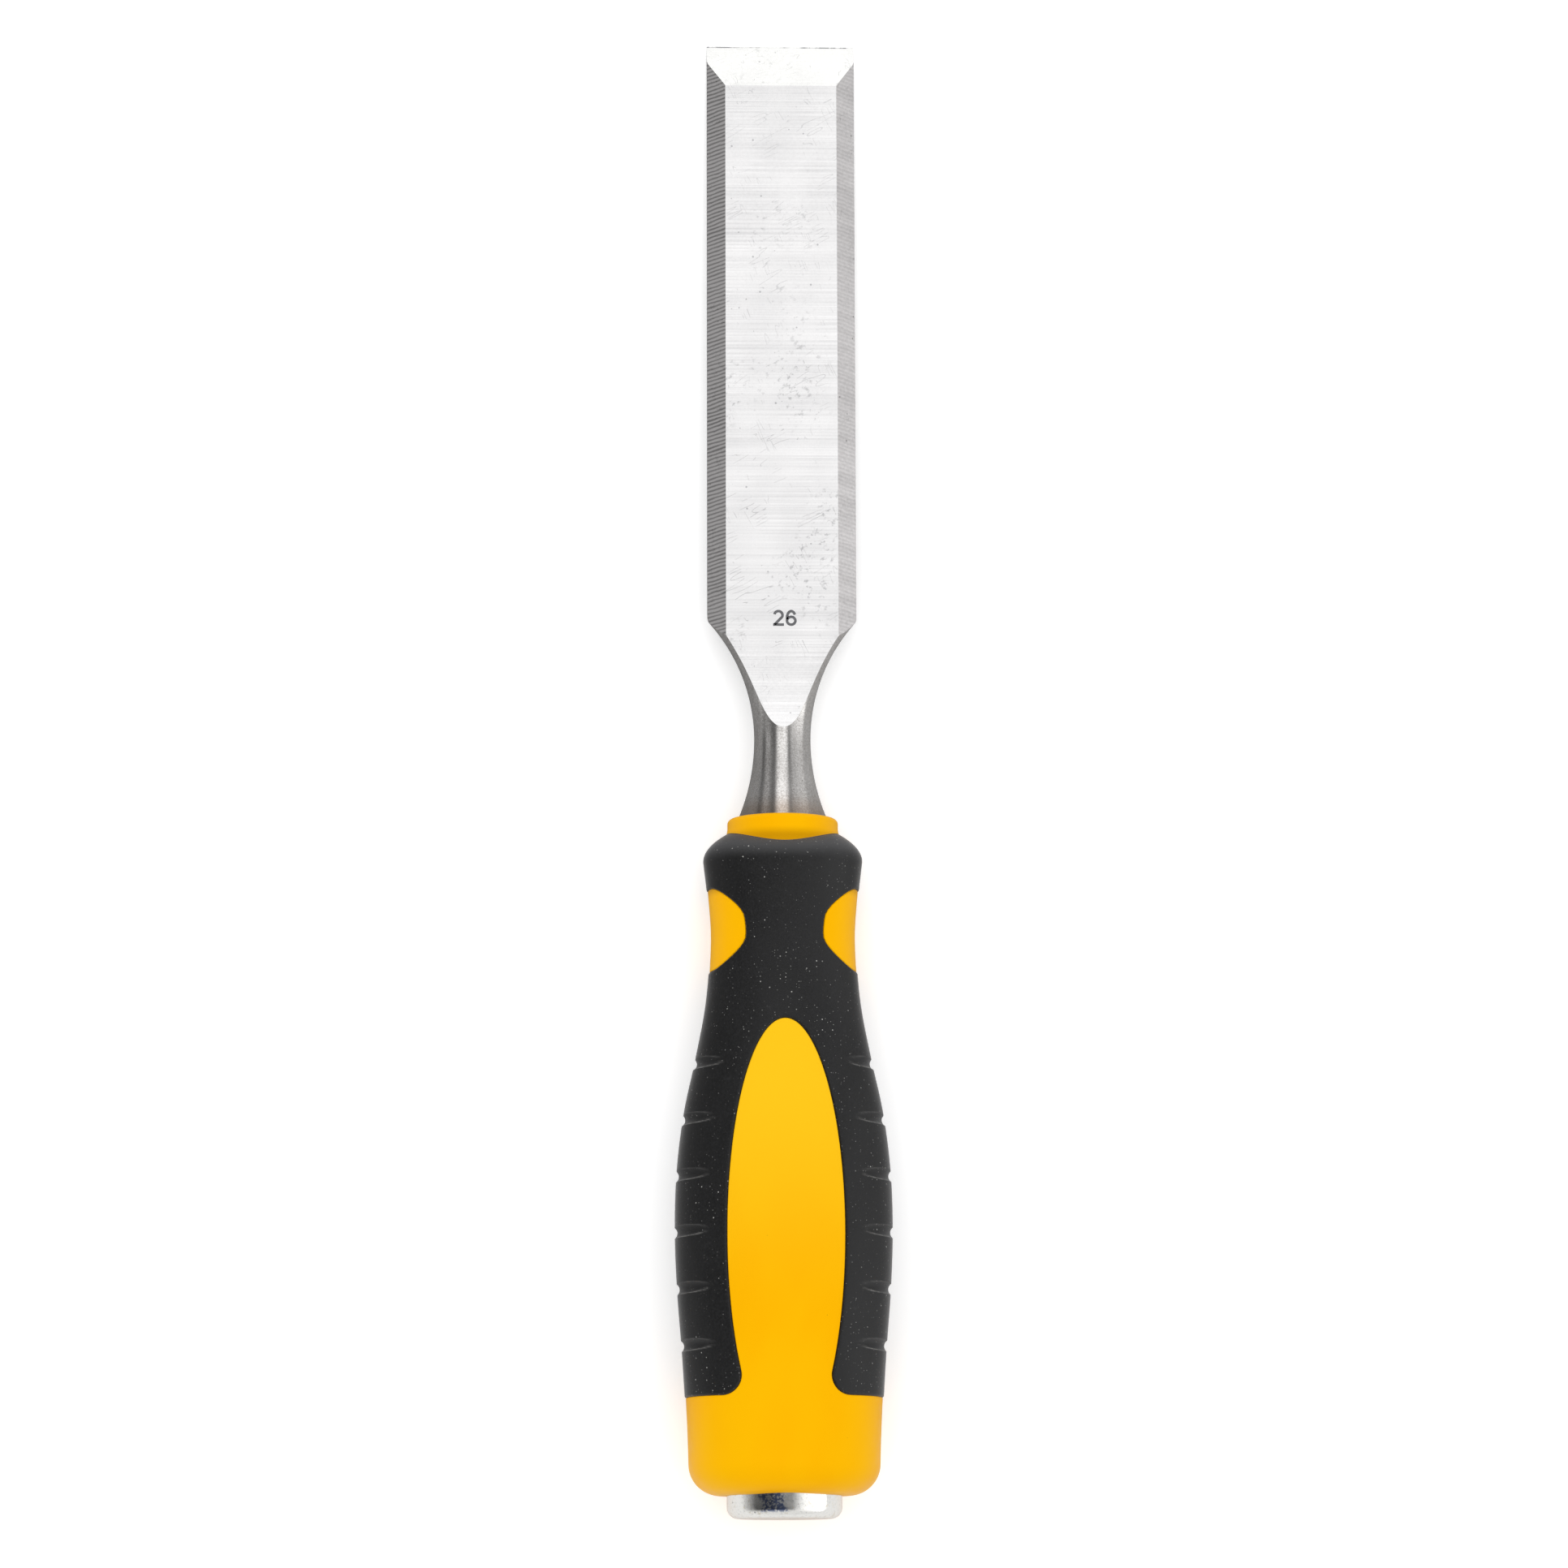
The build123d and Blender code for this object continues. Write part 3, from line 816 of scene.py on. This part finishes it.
def rounded_off(ways, stations, lines, radius, low=0.0):
    """Outside of one of the plastics: low mm below the handle's outside, and rounded with a
    radius where it meets the other one."""
    points = handle_point(ways, stations)
    drop = low + edge_roll(distance_to(points, lines), radius)
    return points - handle_normal(ways, stations) * drop[..., None]


def all_round(quarter, signs=((1, 1, -1), (-1, 1, -1), (-1, 1, 1))):
    """The whole ring of columns from the right front quarter, mirrored to back and left by the
    signs of the other three quarters."""
    mirrored = quarter[:, :0:-1]
    return np.concatenate([
        quarter[:, :-1], mirrored * signs[0], quarter[:, :-1] * signs[1], mirrored * signs[2]
    ], axis=1)


def all_round_cells(quarter):
    """Marks of the whole ring of cells from those of a quarter."""
    return np.concatenate([quarter, quarter[:, ::-1]] * 2, axis=1)


def under_grip(ways, stations, depth, cylinder):
    """The surface under the grip: depth below the outside, and over the dome a wall nine tenths
    of the way down a cylinder round the collar, whose second half runs out to meet it."""
    points = handle_point(ways, stations)
    low = points - handle_normal(ways, stations) * depth
    drop = np.linspace(0, 1, dome_count + 1)[:-1, None]
    join, rim_y = low[dome_count], points[:1, :, 1]
    ring = unit_of(points[:1, :, [0, 2]]) * cylinder
    out = np.clip(drop * 2 - 1, 0, 1)[..., None]
    low[:dome_count, :, [0, 2]] = ring + (join[:, [0, 2]] - ring) * out
    low[:dome_count, :, 1] = rim_y + (join[:, 1] - rim_y) * drop * 0.9
    return low


def cut_notches(points):
    """Finger notches: half a ring laid round each side pushes the surface in towards the ring's
    middle, deepest at the side and fading before the grip's front. The ring's tube and its floor
    are circles through a notch's width and depth, and through its depth and its fading end.
    Gives the points, and from 0 to 1 how near each lies to a notch's edge, where the rubber has
    pale lines that are wear and painted highlight, less on the side towards the blade and at the
    fading ends."""
    tube = (notch_width**2 / 4 + notch_depth**2) / (2 * notch_depth)
    # The pale edge lines are wear and painted highlight; the first two values are their width and
    # their share on the side towards the blade.
    line_width, blade_side_share, floor_half, fade_in = 0.08, 0.3, 0.15, 0.45
    tube_share, front_share = 0.98, 0.6  # of the tube and of the fading end that are worked on
    points = points.copy()
    worn = np.zeros(points.shape[:-1])
    for station in notch_stations:
        half_width, half_depth = handle_size(np.array(station))
        floor_x = half_width - notch_depth
        fade_x = side_reach(notch_fade) * half_width
        fade_z = side_reach(1 - notch_fade) * half_depth
        floor = (fade_z**2 + (floor_x - fade_x) ** 2) / (2 * (floor_x - fade_x))
        middle_x = floor_x - floor
        x, y, z = points[..., 0], points[..., 1], points[..., 2]
        past = y - (collar_y - station)
        across = np.abs(past)
        reach = np.hypot(x - middle_x, z)
        cut = floor + tube - np.sqrt(np.maximum(tube**2 - across**2, 0))
        cut = np.where(across < tube * tube_share, cut, reach + 1)
        meet = np.maximum(notch_soft - np.abs(reach - cut), 0)
        pushed = np.minimum(reach, cut) - meet**2 / (4 * notch_soft)
        near = (across < notch_half_row) & (x > fade_x * front_share)
        scale = np.where(near, pushed / reach, 1)
        edge = np.exp(-(((reach - cut) / line_width) ** 2))
        edge = edge * np.where(past < 0, 1.0, blade_side_share)
        edge = edge * np.clip((x - fade_x) / (fade_in * (floor_x - fade_x)), 0, 1)
        worn = np.maximum(worn, np.where(near & (across > floor_half), edge, 0))
        points[..., 0] = middle_x + (x - middle_x) * scale
        points[..., 2] = z * scale
    return points, worn


# ---------------------------------------------------------------- soft grip

ways, stations, windows = handle_grid(0.0)
rim = handle_point(ways[0], stations[0])
top, worn = cut_notches(rounded_off(ways, stations, border_lines(0.0) + [rim], grip_edge))
top, worn = all_round(top), all_round(worn, (1, 1, 1)).ravel()
low = all_round(under_grip(ways, stations, grip_thickness, collar_rim))
cells = ~all_round_cells(windows)
top_index, low_index = numbered(top, low)
faces = np.concatenate([
    cell_quads(top_index, cells),
    cell_quads(low_index, cells, flip=True),
    step_walls(top_index, low_index, cells),
])
# The notches' pale edge lines, wear and painted highlight, are stored on the grip's points.
wear_and_highlight = np.concatenate([worn, 0 * worn])
soft_grip = make_piece("grip_skin", [top, low], faces, [charcoal_grip], wear_and_highlight=wear_and_highlight)
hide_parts("soft_grip")

# ---------------------------------------------------------------- hard core

ways, stations, windows = handle_grid(part_line)
borders = border_lines(part_line)
top = rounded_off(ways, stations, borders, core_edge, grip_proud)
low = under_grip(ways, stations, grip_thickness + skin_gap, collar_rim - seat_gap)
rim = handle_point(ways[0], stations[0])
top[0], low[0] = rim, rim

heel_stations = spread(grip_end + part_line, handle_length - heel_radius, 20, "start")[1:, None]
heel_ways = np.repeat(ways[-1:], len(heel_stations), axis=0)
heel_stations = np.repeat(heel_stations, ways.shape[1], axis=1)
heel = rounded_off(heel_ways, heel_stations, borders, core_edge, grip_proud)


def ring_inset(way, radius):
    """Inset of the heel's section at which it comes in to a circle."""
    end = np.full_like(way, handle_length)

    def outside_it(inset):
        """Whether the section lies outside the circle with this inset."""
        point = handle_point(way, end, inset)
        return np.hypot(point[..., 0], point[..., 2]) > radius

    most = 12.0
    return halved(np.zeros_like(way), np.full_like(way, most), outside_it)


# The heel's rounded end: a quarter circle of the heel's radius, then flat to the cap's pocket.
pocket_radius = cap_radius + metal_gap
inset_end = ring_inset(ways[-1], pocket_radius)
turn = np.linspace(0, 1, 22)[1:, None]
inset = grip_proud + (inset_end - grip_proud) * (1 - np.cos(turn * math.pi / 2))
over = np.minimum(inset - grip_proud, heel_radius)
arc_station = handle_length - heel_radius + np.sqrt(heel_radius**2 - (heel_radius - over) ** 2)
heel_end = handle_point(ways[-1], arc_station, inset)

# The strike cap's pocket and its stem's hole, closed on the axis.
pocket_y, stem_hole_y = heel_y + cap_seat + seat_gap, stem_end + metal_gap
pocket = rings(heel_end[-1][:, [0, 2]], [
    (pocket_radius, pocket_y), (stem_radius + metal_gap, pocket_y),
    (stem_radius + metal_gap, stem_hole_y), (0, stem_hole_y),
])

# The front: the tang's hole from the axis, the bolster's pocket and its chamfered mouth, the
# collar with its edge a quarter circle, and its foot, which spreads as a parabola to the grip.
rim_direction = rim[:, [0, 2]]
point_y, bolster_y = stem_end + tang_gap, seat_y - seat_gap
lip = np.linspace(0, math.pi / 2, 9)
foot = spread(0, 1, 14, "stop", 1.6)[1:-1, None]
foot_y = collar_y - collar_round + (rim[:, 1] - collar_y + collar_round) * foot
near_rim = np.clip(1 - (foot_y - rim[:, 1]) / foot_height, 0, 1)
front_rows = rings(rim_direction, [
    (0, point_y - metal_gap),
    (square_reach(rim_direction, tang_point_size / 2 + metal_gap), point_y - metal_gap),
    (square_reach(rim_direction, tang_tip / 2 + metal_gap), point_y + tang_point),
    (square_reach(rim_direction, tang_root / 2 + metal_gap), bolster_y),
    (bolster_radius + metal_gap, bolster_y),
    (bolster_radius + metal_gap, collar_y - mouth_depth),
    (bolster_radius + mouth_spread, collar_y),
    *zip(collar_radius - collar_round + collar_round * np.sin(lip),
         collar_y - collar_round + collar_round * np.cos(lip)),
    *zip(collar_radius + (collar_rim - collar_radius) * near_rim**2, foot_y),
])

end_rows = np.concatenate([heel, heel_end, pocket])
top_grid = all_round(np.concatenate([front_rows, top, end_rows]))
low_grid = all_round(np.concatenate([front_rows, low, end_rows]))
keep = all_round_cells(np.concatenate([
    np.ones((len(front_rows), quarter_columns), bool),
    windows,
    np.ones((len(end_rows), quarter_columns), bool),
]))
top_index, low_index = numbered(top_grid, low_grid)
faces = np.concatenate([
    cell_quads(top_index, keep),
    cell_quads(low_index, ~keep),
    step_walls(top_index, low_index, keep, ends=False),
])
handle_core = make_piece("core_shell", [top_grid, low_grid], faces, [yellow_shell])
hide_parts("handle_core")

# ---------------------------------------------------------------- blade


def face_height(y):
    """Height of the ground face: a plane that rises by its slope from the cutting bevel towards
    the neck."""
    return bevel_thickness - back_depth + (bevel_y - y) * math.tan(math.radians(face_slope))


def top_height(y):
    """Height of the ground top: the bevel's plane up from the edge, the face's plane, then the
    wheel's arc, which leaves the face at a tangent."""
    cutting = -back_depth + (edge_y - y) * math.tan(math.radians(bevel_angle))
    slope = math.radians(face_slope)
    wheel_y = runout_y - runout_radius * math.sin(slope)
    wheel_z = face_height(runout_y) + runout_radius * math.cos(slope)
    rise = wheel_z - np.sqrt(np.maximum(runout_radius**2 - (y - wheel_y) ** 2, 0))
    return np.where(y > runout_y, np.minimum(cutting, face_height(y)), rise)


def back_height(y):
    """Height of the flat back: a plane, then the same wheel's arc on the neck."""
    short = np.maximum(runout_y - y, 0)
    return -back_depth - runout_radius + np.sqrt(np.maximum(runout_radius**2 - short**2, 0))


def forging_size(y):
    """Half width and half depth of the forging: circles along the arc of the bolster's flare,
    then ovals that widen along the neck's arc and deepen evenly."""
    flare = np.maximum(waist_y - y, 0)
    bolster = neck_radius + bolster_arc - np.sqrt(np.maximum(bolster_arc**2 - flare**2, 1))
    reach = np.clip(y - waist_y, 0, neck_flare + forging_margin)
    wide = neck_radius + neck_arc - np.sqrt(neck_arc**2 - reach**2)
    deep = neck_radius + (forging_depth - neck_radius) * reach / (neck_flare + forging_margin)
    return np.where(y < waist_y, bolster, wide), np.where(y < waist_y, bolster, deep)


def forged_edge(y, angle):
    """Point of the forging's oval section at an angle from its top, cut to the blade's width,
    with the shoulder's corner blended by a parabola."""
    half_width, half_depth = forging_size(y)
    x, z = half_width * np.sin(angle), half_depth * np.cos(angle)
    half_blade = blade_width / 2
    meet = np.maximum(shoulder_blend - np.abs(x - half_blade), 0)
    return np.minimum(x, half_blade) - meet**2 / (4 * shoulder_blend), z


def side_bevel_height(y, x):
    """Height of the side bevel's plane."""
    inner = blade_width / 2 - side_bevel_width
    return face_height(y) - (x - inner) * math.tan(math.radians(side_bevel_angle))


# Where the ground face and back first cut into the neck. Rows close up near these and near the
# shoulder.
near_tip, near_shoulder, past_tip = 1.2, 1.2, 3
along_neck = np.linspace(waist_y, runout_y, 40001)
face_tip = along_neck[np.argmax(top_height(along_neck) < forging_size(along_neck)[1])]
back_tip = along_neck[np.argmax(-back_height(along_neck) < forging_size(along_neck)[1])]
blade_rows = np.unique(np.round(np.concatenate([
    np.linspace(collar_y, back_tip - near_tip, 24),
    spread(back_tip - near_tip, back_tip, 5, "stop"),
    spread(back_tip, face_tip, 3, "start"),
    spread(face_tip, face_tip + past_tip, 18, "start"),
    np.linspace(face_tip + past_tip, shoulder_y - near_shoulder, 50),
    np.linspace(shoulder_y - near_shoulder, shoulder_y + near_shoulder, 17),
    np.linspace(shoulder_y + near_shoulder, shoulder_y + forging_margin, 10),
    np.linspace(shoulder_y + forging_margin, bevel_y, 46),
    np.linspace(bevel_y, edge_y, 14),
]), 5))

# Across half the blade: the face, the side bevel, the forging's flank, then the back. The side
# bevel runs from where its plane cuts the face down to the flank.
face_columns, bevel_columns, flank_columns = 14, 6, 30
y = blade_rows[:, None]
top_z, back_z = top_height(y), back_height(y)
half_depth = forging_size(y)[1]
low_angle = np.arccos(np.clip(back_z / half_depth, -1, 1))


def above_bevel(angle):
    """Whether the forging at an angle from its top stands above the ground planes."""
    x, z = forged_edge(y, angle)
    return z > np.minimum(top_z, side_bevel_height(y, x))


high_angle = halved(np.zeros_like(y), low_angle, above_bevel, 45)
high_angle = np.where(half_depth <= top_z, 0, high_angle)
flank_x, flank_z = forged_edge(y, high_angle)
inner = blade_width / 2 - side_bevel_width
meet_x = inner - (top_z - face_height(y)) / math.tan(math.radians(side_bevel_angle))
cut_off = side_bevel_height(y, flank_x) < top_z - 1e-6
face_x = np.where(cut_off, np.minimum(meet_x, flank_x), flank_x)
face_x = np.where(high_angle <= 0, 0, face_x)
flank_x = np.where(high_angle <= 0, 0, flank_x)
face_z = np.minimum(top_z, half_depth)
share = np.linspace(0, 1, face_columns + 1)
bevel_share = np.linspace(0, 1, bevel_columns + 1)[1:]
flank_share = np.linspace(0, 1, flank_columns + 1)[1:]
angle = high_angle + (low_angle - high_angle) * flank_share
side_x, side_z = forged_edge(y, angle)
side_x = np.where((low_angle >= math.pi - 1e-9) & (flank_share == 1), 0, side_x)
back_x = side_x[:, -1:] * (1 - share[1:])
half_x = np.concatenate([
    face_x * share, face_x + (flank_x - face_x) * bevel_share, side_x, back_x,
], axis=1)
half_z = np.concatenate([
    face_z + 0 * share, face_z + (flank_z - face_z) * bevel_share, side_z,
    side_z[:, -1:] + 0 * share[1:],
], axis=1)


def both_sides(half):
    """The whole ring of columns from the right half, mirrored to the left."""
    return np.concatenate([half, half[:, -2:0:-1] * (-1, 1, 1)], axis=1)


shown = both_sides(np.stack([half_x, y + 0 * half_x, half_z], axis=-1))

# Inside the handle: the bolster's rim, then the tang's square taper and its point.
direction = shown[0][:, [0, 2]]
tang = rings(direction, [
    (0, point_y),
    (square_reach(direction, tang_point_size / 2), point_y),
    (square_reach(direction, tang_tip / 2), point_y + tang_point),
    (square_reach(direction, tang_root / 2), seat_y),
    (bolster_radius, seat_y),
])
blade_grid = np.concatenate([tang, shown])[::-1]
blade_index = numbered(blade_grid)[0]
faces = cell_quads(blade_index)
half_cells = len(half_x[0]) - 1
row_middle = (blade_grid[1:, 0, 1] + blade_grid[:-1, 0, 1])[:, None] / 2
cell = np.arange(half_cells)
bevel_start, flank_start = face_columns, face_columns + bevel_columns
back_start = flank_start + flank_columns
on_face = (cell < bevel_start) | (cell >= half_cells - face_columns)
flank_from = shoulder_y + 1  # the flanks are ground from just past the shoulder
finishes = [ground_face, ground_side, honed_bevel, forged_neck]
finish = np.full((len(blade_grid) - 1, half_cells), finishes.index(forged_neck))
for where, steel in (
    (on_face & (row_middle > back_tip), ground_face),
    ((cell >= bevel_start) & (cell < flank_start), ground_side),
    ((cell >= flank_start) & (cell < back_start) & (row_middle > flank_from), ground_side),
    ((cell < bevel_start) & (row_middle > bevel_y), honed_bevel),
):
    finish = np.where(where, finishes.index(steel), finish)
finish = np.concatenate([finish, finish[:, ::-1]], axis=1)
blade = make_piece("blade_steelwork", [blade_grid], faces, finishes, finish.ravel(), sharp=14.0)
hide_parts("blade")


def stroke(path, width, low, high):
    """Grid of a flat bar of a width along a path of x and y: four corners at each point, square
    to the path, from low to high, and closed at both ends by a pole."""
    path = np.asarray(path, float)
    along = unit_of(np.gradient(path, axis=0))
    aside = np.stack([along[:, 1], -along[:, 0]], axis=1) * width / 2
    rows = np.empty((len(path), 4, 3))
    for corner, (side, height) in enumerate(((-1, low), (-1, high), (1, high), (1, low))):
        rows[:, corner, :2] = path + side * aside
        rows[:, corner, 2] = height
    ends = [np.repeat(row.mean(0)[None, None], 4, axis=1) for row in (rows[0], rows[-1])]
    return np.concatenate([ends[0], rows, ends[1]])


def width_number():
    """The blade's width, 26, in plain bold figures, etched flush in the face by the shoulders
    and read with the edge upwards. The 2 is an arc, a slant and a bar, and the 6 an oval bowl
    and an oval arm, all of one stroke."""
    sunk, slim, slant_in = 0.04, 0.02, 0.06
    bowl_share = 0.315  # half the bowl's height, as a share of the figure's
    wide = (mark_right - mark_left - mark_space) / 2
    tall = mark_top - mark_bottom
    half = mark_stroke / 2
    low = float(face_height(mark_top)) - sunk
    high = float(face_height(mark_bottom)) + mark_stand
    reach, top_reach = wide / 2 - half, wide / 2 - half - slim
    bowl_rise = bowl_share * tall

    def arc(first, last, count, middle_y, reach_x, reach_y):
        """Part of an oval about the figure's middle, from an angle to another in degrees."""
        turn = np.radians(np.linspace(first, last, count))
        return np.stack([
            wide / 2 + reach_x * np.cos(turn), middle_y + reach_y * np.sin(turn)
        ], axis=1)

    hook = arc(168, -28, 40, tall - half - top_reach, top_reach, top_reach)
    foot_end = (half + slant_in, half * 1.1)
    two = np.concatenate([hook, np.linspace(hook[-1], foot_end, 16)[1:]])
    base = np.linspace((slim, half), (wide, half), 4)
    bowl = arc(0, 360, 61, bowl_rise + half * 0.1, reach, bowl_rise - half * 0.9)
    arm = arc(28, 192, 40, tall / 2, reach, tall / 2 - half)
    grids = []
    for shift, paths in ((0, (two, base)), (wide + mark_space, (bowl, arm))):
        for path in paths:
            corner = (mark_left + shift, mark_bottom)
            grids.append(stroke(path + corner, mark_stroke, low, high))
    faces = np.concatenate([cell_quads(index, flip=True) for index in numbered(*grids)])
    mark = make_piece("width_number", grids, faces, [etched_grey])


width_number()

# ---------------------------------------------------------------- strike cap


def turned(profile, count=128):
    """A profile of radius and y, turned about the tool's axis; its ends lie on the axis."""
    angle = np.arange(count) / count * 2 * math.pi
    radius, y = np.array(profile).T[:, :, None]
    return np.stack([radius * np.sin(angle), y + 0 * angle, radius * np.cos(angle)], axis=-1)


# The stem with its ring grooves, the seat, the side, the edge's quarter circle and the flat strike
# face, which has two more rings so that it shades flat.
face_ring_in, face_ring = 0.6, 4.0
cap_profile = [
    (0, stem_end), (stem_radius - stem_chamfer, stem_end), (stem_radius, stem_end - stem_chamfer),
]
for ring in range(ring_count):
    ring_y = stem_end - ring_pitch * (ring + 0.5)
    groove = stem_radius - ring_depth
    cap_profile += [
        (stem_radius, ring_y), (groove, ring_y),
        (groove, ring_y - ring_width), (stem_radius, ring_y - ring_width),
    ]
cap_profile += [(stem_radius, heel_y + cap_seat), (cap_radius, heel_y + cap_seat)]
cap_profile += [
    (cap_radius - cap_edge_radius * (1 - math.cos(a)), cap_edge_radius * (1 - math.sin(a)))
    for a in np.linspace(0, math.pi / 2, 13)
]
cap_profile += [(cap_radius - cap_edge_radius - face_ring_in, 0), (face_ring, 0), (0, 0)]
cap_grid = turned(cap_profile)
faces = cell_quads(numbered(cap_grid)[0])
strike_cap = make_piece("cap_steelwork", [cap_grid], faces, [zinc_plate])
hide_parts("strike_cap")

# ---------------------------------------------------------------- floor, light and camera

# The tool lies on the back of its cutting edge and on the handle, where a line from that edge to
# the handle's underside is steepest.
stations = np.linspace(collar_height, handle_length, 400)
depths = handle_size(stations)[1]
lowest = np.argmax((depths - back_depth) / (edge_y - collar_y + stations))
rest_point = np.array([0.0, collar_y - stations[lowest], -depths[lowest]])
toe = np.array([0.0, edge_y, -back_depth])
along = unit_of(toe - rest_point)
floor_up = Vector((0.0, -along[2], along[1]))
rest_gap, floor_reach = 0.05, 3000  # the gap keeps the tool just clear of the sheet


def build_floor():
    """A wide flat sheet under the tool, square to the floor's normal."""
    across = Vector((1.0, 0.0, 0.0))
    onward = floor_up.cross(across)
    middle = Vector(rest_point) - floor_up * rest_gap
    corners = [
        (middle + across * side * floor_reach + onward * end * floor_reach) * MM
        for side, end in ((-1, -1), (1, -1), (1, 1), (-1, 1))
    ]
    mesh = bpy.data.meshes.new("floor_sheet")
    mesh.from_pydata([tuple(c) for c in corners], [], [(0, 1, 2, 3)])
    floor = bpy.data.objects.new("floor_sheet", mesh)
    bpy.context.scene.collection.objects.link(floor)
    # Matt white paper. Metal sees it as the shaded paper under a lit tool, a mid grey, darker on
    # the left and paler beyond the handle's end, where the tool shades it less.
    left_shade, butt_light = (-6, 6), (26, 6)  # x and y from which each changes, and is full
    material, tree, place = new_material("white_studio_paper")
    path, parts = add(tree, "LightPath"), add(tree, "SeparateXYZ", place)
    shaded = layered(tree, colour("#8E8E8E"), [
        (add(tree, "MapRange SMOOTHSTEP", parts.outputs[0], *left_shade), "#ACACAC"),
        (add(tree, "MapRange SMOOTHSTEP", parts.outputs[1], *butt_light), "#EDEDED"),
    ])
    reflected = path.outputs["Is Glossy Ray"]
    shader = add(tree, "BsdfPrincipled", {
        "Base Color": add(tree, "Mix RGBA", reflected, colour("#FFFFFF"), shaded),
        "Roughness": 0.95,
        "Specular IOR Level": 0.0,
        "Emission Color": (1, 1, 1, 1),
        "Emission Strength": add(tree, "Math MULTIPLY", path.outputs["Is Camera Ray"], 0.3),
    })
    add(tree, "OutputMaterial", shader)
    mesh.materials.append(material)


build_floor()

aim = Vector((0.27, 126.55, 0.0))
camera_distance, half_view = 1000.0, 136.06  # half_view is half the width seen at the aim
lean_left, lean_butt, roll = math.radians(2.0), math.radians(8.8), math.radians(0.17)
camera_data = bpy.data.cameras.new("camera")
camera = bpy.data.objects.new("camera", camera_data)
bpy.context.scene.collection.objects.link(camera)
bpy.context.scene.camera = camera
camera_data.sensor_width = 36.0
camera_data.lens = camera_data.sensor_width / 2 / (half_view / camera_distance)
toward = Vector((-math.tan(lean_left), -math.tan(lean_butt), 1.0)).normalized()
upward = Vector((math.sin(roll), math.cos(roll), 0.0))
right = upward.cross(toward).normalized()
upward = toward.cross(right)
turn_matrix = Matrix((right, upward, toward)).transposed().to_4x4()
camera.matrix_world = Matrix.Translation((aim + toward * camera_distance) * MM) @ turn_matrix
camera_data.clip_start, camera_data.clip_end = 0.05, 20.0


def soft_box(name, middle, size, radiance):
    """A flat white panel in mm that faces straight down. It lights the matt surfaces, and the
    studio's own overhead panel stands for it in reflections. Its power is its radiance times its
    area times pi."""
    data = bpy.data.lights.new(name, "AREA")
    data.shape = "RECTANGLE"
    data.size, data.size_y = size[0] * MM, size[1] * MM
    data.energy = radiance * data.size * data.size_y * math.pi
    lamp = bpy.data.objects.new(name, data)
    lamp.location = Vector(middle) * MM
    lamp.visible_camera = lamp.visible_glossy = False
    bpy.context.scene.collection.objects.link(lamp)


soft_box("overhead_soft_box", (0, 500, 1250), (900, 2000), 1.1)

# The studio round the tool, which only reflections see: white overhead, then grey panels with
# dark gaps between them, by the angle in degrees from straight up, over to the right. The second
# list is the studio's end behind the handle, which is darker overhead and paler at the sides.
panels = (
    (-180, 0.3), (-130, 0.27), (-104, 0.12), (-88, 0.07), (-77, 0.1), (-70, 0.36), (-59, 0.42),
    (-48, 0.22), (-38, 0.12), (-29, 0.09), (-24, 0.55), (-19, 1.13), (13, 1.13), (18, 0.75),
    (22, 0.13), (27, 0.14), (35, 0.46), (58, 0.6), (75, 0.69), (105, 0.6), (130, 0.42), (180, 0.32),
)
end_panels = (
    (-180, 0.6), (-140, 0.9), (-112, 1.15), (-84, 0.5), (-62, 0.08), (-34, 0.08), (-8, 0.16),
    (14, 0.24), (34, 1.0), (60, 1.4), (110, 1.3), (150, 0.9), (180, 0.6),
)


def panel_curve(tree, turn, levels):
    """Grey level of the panels at a share of the turn from -180 to 180 degrees, in straight
    steps from each level to the next."""
    curve = add(tree, "ValToRGB", turn)
    stops = curve.color_ramp.elements
    for number, (degrees, level) in enumerate(levels):
        at = (degrees + 180) / 360
        stop = stops[number] if number < 2 else stops.new(at)
        stop.position, stop.color = at, (level, level, level, 1)
    return curve


def studio_world():
    """White for the camera and for anything clear, the panels for reflections, and an even pale
    light for everything else. As a reflection turns from the handle's end to the cutting edge,
    it sees plain grey straight behind, the studio's end, then the panels, which are a little
    dimmer in one band."""
    world = bpy.data.worlds.new("studio")
    bpy.context.scene.world = world
    world.use_nodes = True
    tree = world.node_tree
    tree.nodes.clear()
    parts = add(tree, "SeparateXYZ", add(tree, "TexCoord").outputs["Generated"])
    x, y, z = parts.outputs
    turn = add(tree, "MapRange", {
        "Value": add(tree, "Math ARCTAN2", x, z), "From Min": -math.pi, "From Max": math.pi
    })
    forward = add(tree, "MapRange SMOOTHSTEP", y, 0.03, 0.15)
    behind = add(tree, "MapRange SMOOTHSTEP", y, -0.45, -0.85)
    dip = add(tree, "Math MULTIPLY",
              add(tree, "MapRange SMOOTHSTEP", y, 0.17, 0.34),
              add(tree, "MapRange SMOOTHSTEP", y, 0.62, 0.48))
    level = add(tree, "Mix RGBA", forward,
                panel_curve(tree, turn, end_panels), panel_curve(tree, turn, panels))
    dimmed = add(tree, "Math MULTIPLY", dip, 0.12)
    level = add(tree, "Mix RGBA", dimmed, level, (0, 0, 0, 1))
    level = add(tree, "Mix RGBA", behind, level, (0.75, 0.75, 0.75, 1))
    path = add(tree, "LightPath")
    studio = add(tree, "Background", {"Color": level, "Strength": 1.0})
    even = add(tree, "Background", {"Color": (1, 1, 1, 1), "Strength": 0.76})
    white = add(tree, "Background", {"Color": (1, 1, 1, 1), "Strength": 1.0})
    seen = add(tree, "Math MAXIMUM",
               path.outputs["Is Camera Ray"], path.outputs["Is Transmission Ray"])
    lit = add(tree, "MixShader", path.outputs["Is Glossy Ray"], even, studio)
    add(tree, "OutputWorld", add(tree, "MixShader", seen, lit, white))


studio_world()
bpy.context.scene.view_settings.view_transform = "Standard"
